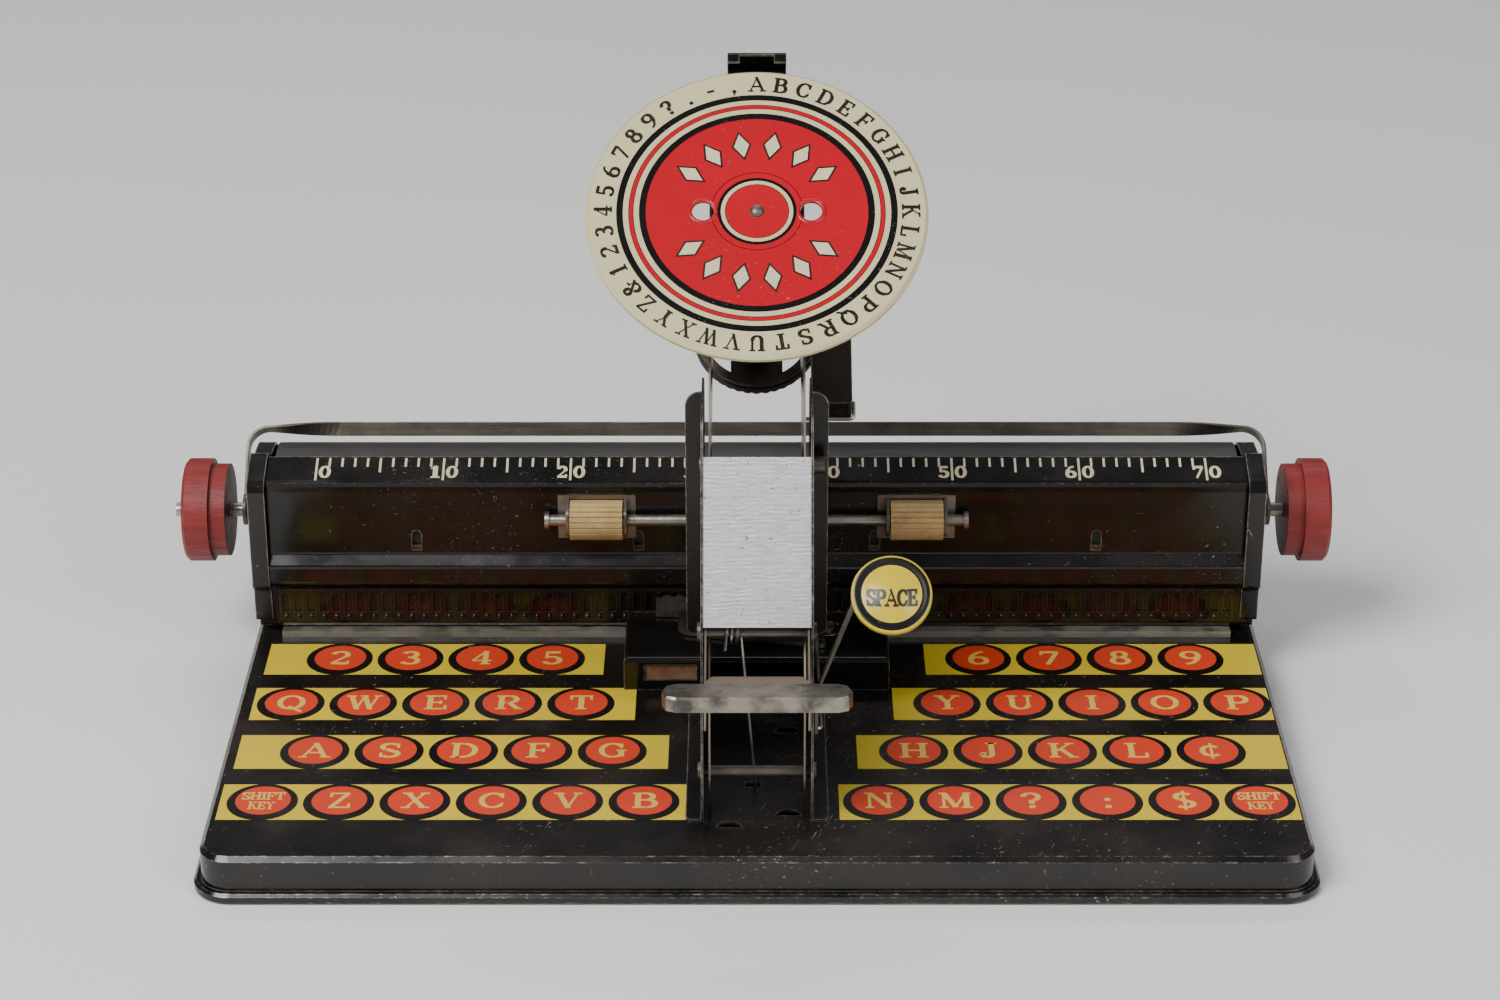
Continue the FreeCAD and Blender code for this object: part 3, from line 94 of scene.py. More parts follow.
# The space cap: middle, ways, outer radius, and the radii where its dome and its groove end
CAP_PLACE = Vector((0.033, -0.0695, 0.077))
CAP_OUT = Vector((0, -math.sqrt(0.5), math.sqrt(0.5)))
CAP_UP = Vector((0, math.sqrt(0.5), math.sqrt(0.5)))
CAP_R = 0.0100
CAP_DOME_R = 0.0074
CAP_GROOVE_R = 0.0092

# The hood's slope: a point at its lower front, the way up along it, the way out of it
SLOPE_FRONT = Vector((0, 0.0329, 0.0591))
SLOPE_WAY = Vector((0, 9.4, 3.7)).normalized()
SLOPE_OUT = Vector((0, -3.7, 9.4)).normalized()

# The scale: upper end of the marks along the slope, and lengths of the tens', fives' and other marks
MARK_TOP_MM = 9.5
MARKS_MM = {0: 8.4, 5: 5.4}
SHORT_MARK_MM = 3.3
# Its figures: foot along the slope, the ten's and the nought's places beside the mark, width in heights
FIGURES_UP = 0.0021
TEN_LEFT, NOUGHT_RIGHT = 0.0023, 0.0024
FIGURE_WIDE = 0.72
FIGURE_BOLD = 0.45

# Keyboard print, mm: middle of a row behind the base's front, then for the left and the right strip its
# two ends, its first key's place and its keys, where ^ is the shift key
BASE_FRONT = -0.0875
KEY_ROWS = (
    (105.2, (-135.0, -42.0, -115.1, "2345"), (46.4, 138.4, 61.2, "6789")),
    (79.7, (-135.8, -32.6, -125.6, "QWERT"), (36.7, 138.4, 51.3, "YUIOP")),
    (53.6, (-136.4, -23.2, -116.2, "ASDFG"), (26.3, 138.4, 41.2, "HJKLc")),
    (27.7, (-137.6, -18.1, -126.7, "^ZXCVB"), (21.0, 138.4, 31.1, "NM?:$^")),
)
# A disc and its letter lie a little right of and behind their circle's middle
DISC_RIGHT, DISC_BACK = 0.0001, 0.0007
LETTER_WIDE, LETTER_BOLD = 1.04, 0.10
# The shift key's words: place behind the key's middle, width
SHIFT_WORDS = (("SHIFT", 0.0011, 0.0112), ("KEY", -0.0037, 0.0068))
SHIFT_HEIGHT, SHIFT_BOLD = 0.0036, 0.34

# The dial's print; no lozenge stands where the sine of its turn is less, at the two finger holes
DIAL_CHARACTERS = "ABCDEFGHIJKLMNOPQRSTUVWXYZ&123456789?.-,"
CHARACTER_WIDE, CHARACTER_BOLD = 0.95, 0.3
LOZENGE_SINE = 0.32
LOZENGE_WAIST = 0.56

# The cap's word: foot, longest part of a stroke on the dome, bend at its ends, lower and upper side
WORD_FOOT = -0.0036
WORD_BOLD = 0.6
WORD_PART = 0.0006
WORD_BEND = 14.0
WORD_LOW, WORD_HIGH = -0.0001, 0.00007

# Characters as strokes on a cap height of 10: t and l are thick and thin strokes, b a flat bar, c part of
# a ring (middle, half sizes, from, to in degrees), d a stroke with its own thickness, s a foot or head
# serif, v an upright serif, o a dot. The first number is the width.
STROKES = {
    "A": "9.6 l 1 0 4.7 9.6;t 4.7 10 8.4 0;b 2.4 3.4 7;s 1 0 2.8;s 8.5 0 3.4",
    "B": "8.2 t 2 0 2 10;b 2 9.6 4.6;b 2 5.3 4.8;b 2 .4 4.8;c 4.6 7.5 2.3 2.1 -90 90;"
         "c 4.8 2.9 2.8 2.5 -90 90;"
         "s 1.8 0 3;s 1.8 10 3",
    "C": "8.6 c 4.7 5 3.7 4.6 42 318;v 7.6 6.6 3;d 7.4 2 7.9 3.2 .8",
    "D": "9.2 t 2 0 2 10;b 2 9.6 4.2;b 2 .4 4.2;c 4.2 5 4.1 4.6 -90 90;s 1.8 0 3;s 1.8 10 3",
    "E": "8.2 t 2 0 2 10;b 2 9.6 7.2;b 2 5 5.6;b 2 .4 7.4;v 7 7.3 2.7;v 5.6 3.9 2.2;v 7.3 0 2.9;s 1.8 0 3;"
         "s 1.8 10 3",
    "F": "7.8 t 2 0 2 10;b 2 9.6 7.2;b 2 5 5.6;v 7 7.3 2.7;v 5.6 3.9 2.2;s 2 0 3.8;s 1.8 10 3",
    "G": "9.4 c 4.7 5 3.7 4.6 42 325;v 7.6 6.6 3;t 7.6 .8 7.6 4.4;s 7.6 4.6 3.2",
    "H": "9.8 t 2 0 2 10;t 7.8 0 7.8 10;b 2 5 7.8;s 2 0 3.6;s 2 10 3.6;s 7.8 0 3.6;s 7.8 10 3.6",
    "I": "4.4 t 2.2 0 2.2 10;s 2.2 0 3.8;s 2.2 10 3.8",
    "J": "6.2 t 4.2 2.4 4.2 10;c 2.6 2.4 1.7 2.1 180 360;s 4.2 10 3.6;o 1.4 2.6 1",
    "K": "9.6 t 2 0 2 10;l 2.4 4 7.4 9.7;t 4.2 6 8 0;s 2 0 3.6;s 2 10 3.6;s 8.2 0 3.2;s 7.3 10 2.8",
    "L": "7.8 t 2 0 2 10;b 2 .4 7;v 7 0 3.2;s 2 0 3;s 2 10 3.8",
    "M": "11.4 l 2 0 2 10;t 2.2 10 5.7 .5;l 5.7 .5 9.2 10;t 9.4 0 9.4 10;s 2 0 2.8;s 9.4 0 3.6;s 1.8 10 2.4;"
         "s 9.6 10 2.6",
    "N": "10 l 2 0 2 10;t 2 10 8.2 0;l 8.2 0 8.2 10;s 2 0 2.8;s 1.6 10 2.4;s 8.2 10 2.8",
    "O": "9.4 c 4.7 5 3.9 4.6 0 360",
    "P": "8 t 2 0 2 10;b 2 9.6 4.6;b 2 4.7 4.6;c 4.6 7.15 2.6 2.5 -90 90;s 2 0 3.8;s 1.8 10 3",
    "Q": "9.4 c 4.7 5 3.9 4.6 0 360;d 4.2 2 8.6 -1.6 1.3",
    "R": "9 t 2 0 2 10;b 2 9.6 4.6;b 2 4.9 4.6;c 4.6 7.25 2.5 2.4 -90 90;t 4.6 5 7.8 0;s 2 0 3.6;s 1.8 10 3;"
         "s 8.2 0 2.2",
    "S": "7.6 c 3.9 7.4 2.6 2.2 40 235;c 3.9 2.6 2.8 2.2 -140 55;d 2.4 5.9 5.5 4.1 1.7;v 6.5 6.8 2.8;"
         "v 1.1 .4 2.8",
    "T": "8.8 t 4.4 0 4.4 10;b .9 9.6 7.9;v 1 7.1 2.9;v 7.8 7.1 2.9;s 4.4 0 3.8",
    "U": "9.2 t 2 3 2 10;l 7.4 3 7.4 10;c 4.7 3.2 2.7 2.8 180 360;s 2 10 3.6;s 7.4 10 2.8",
    "V": "9.2 t 1.6 10 4.7 0;l 4.7 .4 7.6 10;s 1.6 10 3.4;s 7.7 10 2.8",
    "W": "12.2 t 1.6 10 4 0;l 4 .4 6.1 10;t 6.1 10 8.4 0;l 8.4 .4 10.6 10;s 1.6 10 3.2;s 6 10 2.6;"
         "s 10.7 10 2.6",
    "X": "9.2 t 1.8 10 7.4 0;l 1.6 0 7.4 10;s 1.8 10 3.2;s 7.4 10 2.8;s 1.6 0 2.8;s 7.6 0 3.2",
    "Y": "9 t 1.6 10 4.4 5;l 4.5 5 7.4 10;t 4.5 0 4.5 5;s 1.6 10 3.2;s 7.4 10 2.8;s 4.5 0 3.6",
    "Z": "8.2 b 1.2 9.6 7.2;b 1 .4 7.4;d 6.7 9.6 1.7 .4 1.6;v 1.3 7.2 2.8;v 7.4 0 2.8",
    "0": "8 c 4 5 3 4.6 0 360",
    "1": "6 t 3.2 0 3.2 10;d 1.3 8 3.2 9.7 .9;s 3.2 0 4",
    "2": "8 c 3.9 7.2 2.6 2.4 -25 165;d 6.1 6.2 1.5 1 1.1;d 1.2 .8 6.8 .8 1.5;v 6.8 .6 2",
    "3": "7.8 c 3.5 7.5 2.3 2.1 -85 155;c 3.6 2.8 2.8 2.4 -155 85;d 2.8 5.3 4.4 5.3 .8",
    "4": "8.2 t 5.4 0 5.4 10;l 5 9.6 1.2 3;b 1 2.9 7.4;s 5.4 0 3.4",
    "5": "7.8 d 1.9 9.2 6.4 9.2 1.5;l 2 9.6 1.8 5;c 3.7 3.1 2.8 2.7 -155 135",
    "6": "8 c 4 2.9 2.8 2.5 0 360;c 6 3.2 4.7 6.4 92 185",
    "7": "7.8 d 1.1 9.2 7 9.2 1.5;d 6.7 9 3.2 0 1.6;v 1.2 7.2 2.4",
    "8": "7.8 c 3.9 7.5 2.2 2.1 0 360;c 3.9 2.8 2.8 2.4 0 360",
    "9": "8 c 4 7.1 2.8 2.5 0 360;c 2 6.8 4.7 6.4 -88 5",
    "&": "10 c 4 7.7 1.8 1.9 0 360;d 2.8 6.3 8 .4 1.6;c 3.8 2.6 2.9 2.3 120 330;d 6.2 1.6 8 4.8 .8;s 8 5 2.2",
    "?": "7 c 3.4 7.3 2.4 2.3 -70 175;t 3.6 2.9 3.6 5.2;o 3.6 .9 1",
    ".": "3 o 1.5 .9 1",
    ",": "3 o 1.5 .9 1;d 2 .6 1 -1.6 .9",
    "-": "5 d .6 4 4.4 4 1.3",
    ":": "3 o 1.5 .9 1;o 1.5 5.6 1",
    "$": "7.6 c 3.9 7.4 2.6 2.2 40 235;c 3.9 2.6 2.8 2.2 -140 55;d 2.4 5.9 5.5 4.1 1.7;"
         "d 3.9 -1.2 3.9 11.2 .8",
    "c": "8 c 4 4.6 3 3.4 45 315;d 4 -.6 4 9.8 .8",
}
THICK = 1.75
THIN = 0.85
SERIF = 0.7
UPRIGHT_SERIF = 0.8
WIDEST_SLANT = 1.35
ARC_STEP = 18
DOT_SIDES = 12


# ---------- flat shapes ----------
def ribbon(x0, y0, x1, y1, a, b):
    """A stroke's outline from one point to another, spread by (a, b) to both sides."""
    return [(x0 - a, y0 - b), (x0 + a, y0 + b), (x1 + a, y1 + b), (x1 - a, y1 - b)]


def arc(x, y, half_x, half_y, start, end):
    """Part of a ring as short strokes, thick at its sides and thin at its top and bottom."""
    steps = max(3, int(abs(end - start) / ARC_STEP))
    rim = []
    for i in range(steps + 1):
        turn = math.radians(start + (end - start) * i / steps)
        half = (THIN + (THICK - THIN) * abs(math.cos(turn)) ** 1.3) / 2
        rim.append([(x + (half_x + side) * math.cos(turn), y + (half_y + side) * math.sin(turn))
                    for side in (-half, half)])
    return [[near[0], near[1], far[1], far[0]] for near, far in zip(rim[:-1], rim[1:])]


def stroke_shapes(character):
    """The outlines of one character, and its width, on a cap height of 10."""
    width, strokes = STROKES[character].split(" ", 1)
    shapes = []
    for stroke in strokes.split(";"):
        kind, *numbers = stroke.split()
        n = [float(number) for number in numbers]
        if kind in "tl":
            slant = math.hypot(n[2] - n[0], n[3] - n[1]) / max(abs(n[3] - n[1]), 0.1)
            half = (THICK if kind == "t" else THIN) / 2 * min(slant, WIDEST_SLANT)
            shapes.append(ribbon(*n, half, 0))
        elif kind == "b":
            shapes.append(ribbon(n[0], n[1], n[2], n[1], 0, THIN / 2))
        elif kind == "d":
            half = n[4] / 2 / math.hypot(n[2] - n[0], n[3] - n[1])
            shapes.append(ribbon(*n[:4], (n[1] - n[3]) * half, (n[2] - n[0]) * half))
        elif kind == "s":
            low = n[1] if n[1] < 5 else n[1] - SERIF
            shapes.append(ribbon(n[0], low, n[0], low + SERIF, n[2] / 2, 0))
        elif kind == "v":
            shapes.append(ribbon(n[0], n[1], n[0], n[1] + n[2], UPRIGHT_SERIF / 2, 0))
        elif kind == "o":
            turns = [math.tau * i / DOT_SIDES for i in range(DOT_SIDES)]
            shapes.append([(n[0] + n[2] * math.cos(turn), n[1] + n[2] * math.sin(turn)) for turn in turns])
        elif kind == "c":
            shapes += arc(*n)
    return shapes, float(width)


def bold(shapes, grow):
    """Outlines pushed out from their middles, less up and down than to the sides."""
    out = []
    for shape in shapes:
        a = sum(x for x, y in shape) / len(shape)
        b = sum(y for x, y in shape) / len(shape)
        out.append([(x + grow * (1 if x > a else -1), y + grow * 0.6 * (1 if y > b else -1))
                    for x, y in shape])
    return out


def word_shapes(word, x, y, height, width, grow):
    """A word's outlines, centred on x, standing on y, drawn to a width."""
    glyphs = [stroke_shapes(character) for character in word]
    total = sum(wide for shapes, wide in glyphs)
    out = []
    at = 0.0
    for shapes, wide in glyphs:
        for shape in bold(shapes, grow):
            out.append([(x + ((at + a) / total - 0.5) * width, y + b * height / 10) for a, b in shape])
        at += wide
    return out


def split(shape, longest):
    """A four-cornered outline cut across its long sides into short parts, to follow a dome."""
    if len(shape) != 4:
        return [shape]
    edges = [math.dist(shape[i], shape[(i + 1) % 4]) for i in range(4)]
    if edges[0] + edges[2] > edges[1] + edges[3]:
        shape = shape[1:] + shape[:1]
    a, b, c, d = shape
    count = max(1, math.ceil(max(math.dist(b, c), math.dist(d, a)) / longest))

    def between(start, end, share):
        return tuple(s + (e - s) * share for s, e in zip(start, end))

    cuts = [(between(a, d, i / count), between(b, c, i / count)) for i in range(count + 1)]
    return [[near[0], near[1], far[1], far[0]] for near, far in zip(cuts[:-1], cuts[1:])]


# ---------- meshes ----------
def linked(name, data):
    piece = bpy.data.objects.new(name, data)
    bpy.context.scene.collection.objects.link(piece)
    return piece


def made(name, mesh):
    """A piece in the scene with the mesh's faces."""
    data = bpy.data.meshes.new(name)
    mesh.to_mesh(data)
    mesh.free()
    return linked(name, data)


LIFT = 0.0000011
LIFTS = 11


def plates(name, shapes, place, low, high):
    """Thin closed plates: each outline (a, b) is stood on a surface by place(a, b, height).

    Neighbours differ a little in height, so that two tops never share a plane where they cross.
    """
    mesh = bmesh.new()
    for turn, shape in enumerate(shapes):
        if sum(p[0] * q[1] - q[0] * p[1] for p, q in zip(shape[-1:] + shape, shape)) < 0:
            shape = shape[::-1]
        lift = turn % LIFTS * LIFT
        bottom = [mesh.verts.new(place(a, b, low + lift)) for a, b in shape]
        top = [mesh.verts.new(place(a, b, high + lift)) for a, b in shape]
        mesh.faces.new(top)
        mesh.faces.new(bottom[::-1])
        for i in range(len(shape)):
            mesh.faces.new((bottom[i - 1], bottom[i], top[i], top[i - 1]))
    return made(name, mesh)


def skinned(name, rings, closed=False, smooth=False):
    """Rings of points, or poles of one point, joined each to the next.

    The ends are filled, unless the last ring is closed onto the first.
    """
    mesh = bmesh.new()
    rings = [[mesh.verts.new(point) for point in ring] for ring in rings]
    sides = max(len(ring) for ring in rings)
    for near, far in zip(rings, rings[1:] + (rings[:1] if closed else [])):
        for i in range(sides):
            corners = (near[i % len(near)], near[(i + 1) % len(near)],
                       far[(i + 1) % len(far)], far[i % len(far)])
            mesh.faces.new(list(dict.fromkeys(corners)))
    for end in (rings[0], rings[-1]):
        if len(end) > 1 and not closed:
            mesh.faces.new(end)
    bmesh.ops.recalc_face_normals(mesh, faces=mesh.faces)
    for face in mesh.faces:
        face.smooth = smooth
    return made(name, mesh)


def turned(name, profile, place, out, up, sides=96, closed=False, across=RIGHT, smooth=True):
    """A profile of (radius, height) turned round an axis; radius 0 closes into a pole."""
    rings = []
    for radius, height in profile:
        turns = [math.tau * i / sides for i in range(sides if radius > 0 else 1)]
        rings.append([place + out * height + (across * math.cos(turn) + up * math.sin(turn)) * radius
                      for turn in turns])
    return skinned(name, rings, closed, smooth)


def finished(piece, body, material=None):
    """Put a piece on its body, with a material unless it has one."""
    if material is not None:
        piece.data.materials.append(material)
    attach(piece, body)
    return piece


# ---------- node trees ----------
class Nodes:
    """A node tree under construction."""

    def __init__(self, tree):
        self.tree = tree

    def feed(self, node, inputs):
        """Link or set a node's inputs."""
        for key, value in inputs.items():
            if isinstance(value, bpy.types.NodeSocket):
                self.tree.links.new(value, node.inputs[key])
            else:
                node.inputs[key].default_value = value

    def put(self, kind, inputs=None, **settings):
        node = self.tree.nodes.new(kind)
        for key, value in settings.items():
            setattr(node, key, value)
        self.feed(node, inputs or {})
        return node

    def maths(self, operation, a, b=0.0, clamp=False):
        return self.put("ShaderNodeMath", {0: a, 1: b}, operation=operation, use_clamp=clamp).outputs[0]

    def times(self, a, b):
        return self.maths("MULTIPLY", a, b)

    def larger(self, a, b):
        return self.maths("MAXIMUM", a, b)

    def vector(self, operation, a, b):
        node = self.put("ShaderNodeVectorMath", {0: a, 1: b}, operation=operation)
        return node.outputs["Value" if operation == "DOT_PRODUCT" else "Vector"]

    def spread(self, value, low, high, out_low=0.0, out_high=1.0):
        """A value between low and high, brought to between out_low and out_high."""
        inputs = {0: value, 1: low, 2: high, 3: out_low, 4: out_high}
        return self.put("ShaderNodeMapRange", inputs).outputs[0]

    def noise(self, place, scale, detail, roughness=0.5):
        inputs = {"Vector": place, "Scale": scale, "Detail": detail, "Roughness": roughness}
        return self.put("ShaderNodeTexNoise", inputs).outputs["Fac"]

    def mixed(self, mask, a, b):
        """Colour a where mask is 0, b where it is 1."""
        a, b = (c if isinstance(c, bpy.types.NodeSocket) else (*c, 1.0) for c in (a, b))
        return self.put("ShaderNodeMix", {0: mask, 6: a, 7: b}, data_type="RGBA").outputs[2]

    def use(self, name, inputs):
        """The outputs of one of the groups."""
        return self.put("ShaderNodeGroup", inputs, node_tree=GROUPS[name]).outputs


def new_socket(tree, label, value, in_out="INPUT"):
    """A tree's input or output for a value of this type, with the value as its default."""
    kind = {int: "Int", float: "Float", str: "Geometry"}.get(type(value), "Vector")
    socket = tree.interface.new_socket(label, in_out=in_out, socket_type="NodeSocket" + kind)
    if value:
        socket.default_value = value


# ---------- repeated shapes by geometry nodes ----------
def repeated(name, points, kind, sizes, material, turn=(0.0, 0.0, 0.0), scales=None):
    """A plain mesh of one simple form set on each point. sizes are the form's inputs."""
    cloud = bpy.data.meshes.new(name + "_points")
    cloud.from_pydata([tuple(point) for point in points], [], [])
    stretch = cloud.attributes.new("stretch", "FLOAT_VECTOR", "POINT")
    for i in range(len(points)):
        stretch.data[i].vector = scales[i] if scales else (1.0, 1.0, 1.0)
    tree = bpy.data.node_groups.new(name, "GeometryNodeTree")
    tree.is_modifier = True
    new_socket(tree, "Geometry", "")
    new_socket(tree, "Geometry", "", "OUTPUT")
    for label, value in sizes.items():
        new_socket(tree, label, value)
    nodes = Nodes(tree)
    enter = nodes.put("NodeGroupInput").outputs
    form = nodes.put(kind, {label: enter[label] for label in sizes})
    read = nodes.put("GeometryNodeInputNamedAttribute", {"Name": "stretch"}, data_type="FLOAT_VECTOR")
    stamp = nodes.put("GeometryNodeInstanceOnPoints", {
        "Points": enter["Geometry"], "Instance": form.outputs["Mesh"], "Rotation": turn,
        "Scale": read.outputs["Attribute"]})
    real = nodes.put("GeometryNodeRealizeInstances", {"Geometry": stamp.outputs["Instances"]})
    paint = nodes.put("GeometryNodeSetMaterial", {"Geometry": real.outputs["Geometry"], "Material": material})
    nodes.put("NodeGroupOutput", {"Geometry": paint.outputs["Geometry"]})
    seed = linked(name + "_points", cloud)
    seed.modifiers.new(name, "NODES").node_group = tree
    graph = bpy.context.evaluated_depsgraph_get()
    data = bpy.data.meshes.new_from_object(
        seed.evaluated_get(graph), preserve_all_data_layers=True, depsgraph=graph)
    data.name = name
    if not data.polygons or not data.materials:
        raise RuntimeError(name + " came out empty or bare")
    bpy.data.objects.remove(seed)
    return linked(name, data)


# ---------- groups of the looks ----------
GROUPS = {}


def group(name, inputs, outputs):
    """A new group with its inputs, of which None is a place, and outputs that are numbers."""
    tree = GROUPS[name] = bpy.data.node_groups.new(name, "ShaderNodeTree")
    for label, value in inputs.items():
        new_socket(tree, label, value)
    for label in outputs:
        new_socket(tree, label, 0.0, "OUTPUT")
    nodes = Nodes(tree)
    return nodes, nodes.put("NodeGroupInput").outputs, nodes.put("NodeGroupOutput")


def make_groups():
    # Specks, scratches and smudges of an old gloss print
    nodes, enter, leave = group("worn_print", {"Place": None, "Specks": 0.5, "Scratches": 0.5},
                                ("Wear", "Smudge", "Relief"))
    place = enter["Place"]
    specks = nodes.spread(nodes.noise(place, 620.0, 3.0, 0.6), 0.69, 0.72)
    specks = nodes.times(specks, nodes.spread(nodes.noise(place, 26.0, 3.0), 0.42, 0.62))
    specks = nodes.times(specks, enter["Specks"])
    streaks = []
    for turn, stretch in ((0.25, (70.0, 2400.0, 2400.0)), (1.9, (110.0, 3000.0, 3000.0))):
        aside = nodes.put("ShaderNodeMapping", {"Vector": place, "Rotation": (0.1, 0.2, turn)}).outputs[0]
        streak = nodes.noise(nodes.vector("MULTIPLY", aside, stretch), 1.0, 1.0)
        streaks.append(nodes.spread(streak, 0.735, 0.765))
    patches = nodes.spread(nodes.noise(place, 40.0, 2.0), 0.48, 0.66)
    scratches = nodes.times(nodes.times(nodes.larger(*streaks), patches), enter["Scratches"])
    wear = nodes.maths("MAXIMUM", specks, scratches, clamp=True)
    wave = nodes.noise(place, 60.0, 2.0)
    nodes.feed(leave, {
        "Wear": wear,
        "Smudge": nodes.spread(nodes.noise(place, 34.0, 5.0, 0.62), 0.36, 0.68),
        "Relief": nodes.maths("SUBTRACT", wave, nodes.times(wear, 0.5)),
    })

    # Fine streaks drawn out along one way, and dull blotches
    nodes, enter, leave = group("grain", {"Place": None, "Stretch": (40.0, 900.0, 900.0)},
                                ("Grain", "Blotch"))
    streak = nodes.noise(nodes.vector("MULTIPLY", enter["Place"], enter["Stretch"]), 1.0, 5.0, 0.65)
    blotch = nodes.noise(enter["Place"], 130.0, 5.0, 0.6)
    nodes.feed(leave, {"Grain": nodes.spread(streak, 0.32, 0.68), "Blotch": nodes.spread(blotch, 0.42, 0.64)})

    # Rubbed edges: where a rounded normal leaves the face's own normal
    nodes, enter, leave = group("rubbed_edges", {"Place": None, "Reach": 0.0006, "Amount": 1.0}, ("Edge",))
    rounded = nodes.put("ShaderNodeBevel", {"Radius": enter["Reach"]}, samples=6).outputs[0]
    flat = nodes.put("ShaderNodeNewGeometry").outputs["Normal"]
    away = nodes.maths("SUBTRACT", 1.0, nodes.vector("DOT_PRODUCT", rounded, flat))
    limit = nodes.spread(nodes.noise(enter["Place"], 480.0, 4.0, 0.7), 0.35, 0.65, 0.02, 0.30)
    edge = nodes.spread(nodes.maths("SUBTRACT", away, limit), 0.0, 0.03)
    nodes.feed(leave, {"Edge": nodes.maths("MULTIPLY", edge, enter["Amount"], clamp=True)})

    # Cut edges: faces that are not square to a sheet's own direction
    nodes, enter, leave = group("cut_edge", {"Across": (1.0, 0.0, 0.0)}, ("Edge",))
    normal = nodes.put("ShaderNodeTexCoord").outputs["Normal"]
    flatness = nodes.maths("ABSOLUTE", nodes.vector("DOT_PRODUCT", normal, enter["Across"]))
    nodes.feed(leave, {"Edge": nodes.spread(flatness, 0.35, 0.55, 1.0, 0.0)})


# ---------- looks ----------
def blank(name):
    """A new material, its nodes, its shader and the place on the object."""
    material = bpy.data.materials.new(name)
    material.use_nodes = True
    material.node_tree.nodes.clear()
    nodes = Nodes(material.node_tree)
    shader = nodes.put("ShaderNodeBsdfPrincipled")
    nodes.put("ShaderNodeOutputMaterial", {"Surface": shader.outputs[0]})
    return material, nodes, shader, nodes.put("ShaderNodeTexCoord").outputs["Object"]


def relief(nodes, height, strength, distance):
    bump = nodes.put("ShaderNodeBump", {"Height": height, "Strength": strength, "Distance": distance})
    return bump.outputs[0]


METAL = (0.50, 0.45, 0.38)
BRASSY = (0.34, 0.27, 0.17)
BLACK = (0.0055, 0.0048, 0.0045)
BLACK_BROWN = (0.021, 0.0145, 0.0105)
IVORY = (0.68, 0.61, 0.35)
RED = (0.52, 0.006, 0.018)
YELLOW = (0.72, 0.53, 0.030)
ORANGE = (0.70, 0.055, 0.020)
GOLD = (0.80, 0.53, 0.10)


def worn_through(nodes, shader, face, mask, worn, bare, metallic, rough, smudged, rubbed, bump):
    """Feed the shader with a print's face, worn to bare metal where the mask is 1."""
    dull = nodes.spread(worn["Smudge"], 0.0, 1.0, rough, rough + smudged)
    nodes.feed(shader, {
        "Base Color": nodes.mixed(mask, face, bare),
        "Metallic": nodes.times(mask, metallic),
        "Roughness": nodes.maths("ADD", dull, nodes.times(mask, rubbed)),
        "Normal": relief(nodes, worn["Relief"], bump, 0.0004),
    })


def gloss_print(name, colour, dirt=None, specks=0.5, scratches=0.5, edge=0.0, across=None, rough=0.22,
                bare=METAL, shade=0.35):
    """Gloss print on tin: colour with smudges, worn through in specks, scratches and edges."""
    material, nodes, shader, place = blank(name)
    worn = nodes.use("worn_print", {"Place": place, "Specks": specks, "Scratches": scratches})
    dirt = dirt or tuple(part * 0.62 for part in colour)
    face = nodes.mixed(nodes.times(worn["Smudge"], shade), colour, dirt)
    mask = worn["Wear"]
    if edge:
        rubbed = nodes.use("rubbed_edges", {"Place": place, "Reach": 0.0007, "Amount": edge})
        mask = nodes.larger(mask, rubbed["Edge"])
    if across:
        cut = nodes.use("cut_edge", {"Across": across})
        mask = nodes.larger(mask, nodes.times(cut["Edge"], 0.85))
    worn_through(nodes, shader, face, mask, worn, bare, 0.85, rough, 0.16, 0.15, 0.25)
    return material


def ring_print(name, bands, middle, up, radius, specks, scratches, rough=0.16):
    """Printed rings: bands are (outer fraction of the radius, colour)."""
    material, nodes, shader, place = blank(name)
    away = nodes.vector("SUBTRACT", place, tuple(middle))
    side, rise = (nodes.vector("DOT_PRODUCT", away, tuple(way)) for way in (RIGHT, up))
    flat = nodes.put("ShaderNodeCombineXYZ", {"X": side, "Y": rise})
    reach = nodes.put("ShaderNodeVectorMath", {0: flat.outputs[0]}, operation="LENGTH").outputs["Value"]
    ramp = nodes.put("ShaderNodeValToRGB", {"Fac": nodes.maths("DIVIDE", reach, radius)})
    ramp.color_ramp.interpolation = "CONSTANT"
    marks = ramp.color_ramp.elements
    marks.remove(marks[1])
    marks[0].position = 0.0
    marks[0].color = (*bands[0][1], 1.0)
    for (start, _), (_, colour) in zip(bands[:-1], bands[1:]):
        marks.new(start).color = (*colour, 1.0)
    printed = ramp.outputs["Color"]
    worn = nodes.use("worn_print", {"Place": place, "Specks": specks, "Scratches": scratches})
    dark = nodes.put("ShaderNodeHueSaturation", {"Color": printed, "Value": 0.72, "Saturation": 1.08})
    face = nodes.mixed(nodes.times(worn["Smudge"], 0.4), printed, dark.outputs["Color"])
    rubbed = nodes.use("rubbed_edges", {"Place": place, "Reach": 0.0005, "Amount": 0.9})
    mask = nodes.larger(worn["Wear"], rubbed["Edge"])
    worn_through(nodes, shader, face, mask, worn, BRASSY, 0.6, rough, 0.14, 0.2, 0.22)
    return material


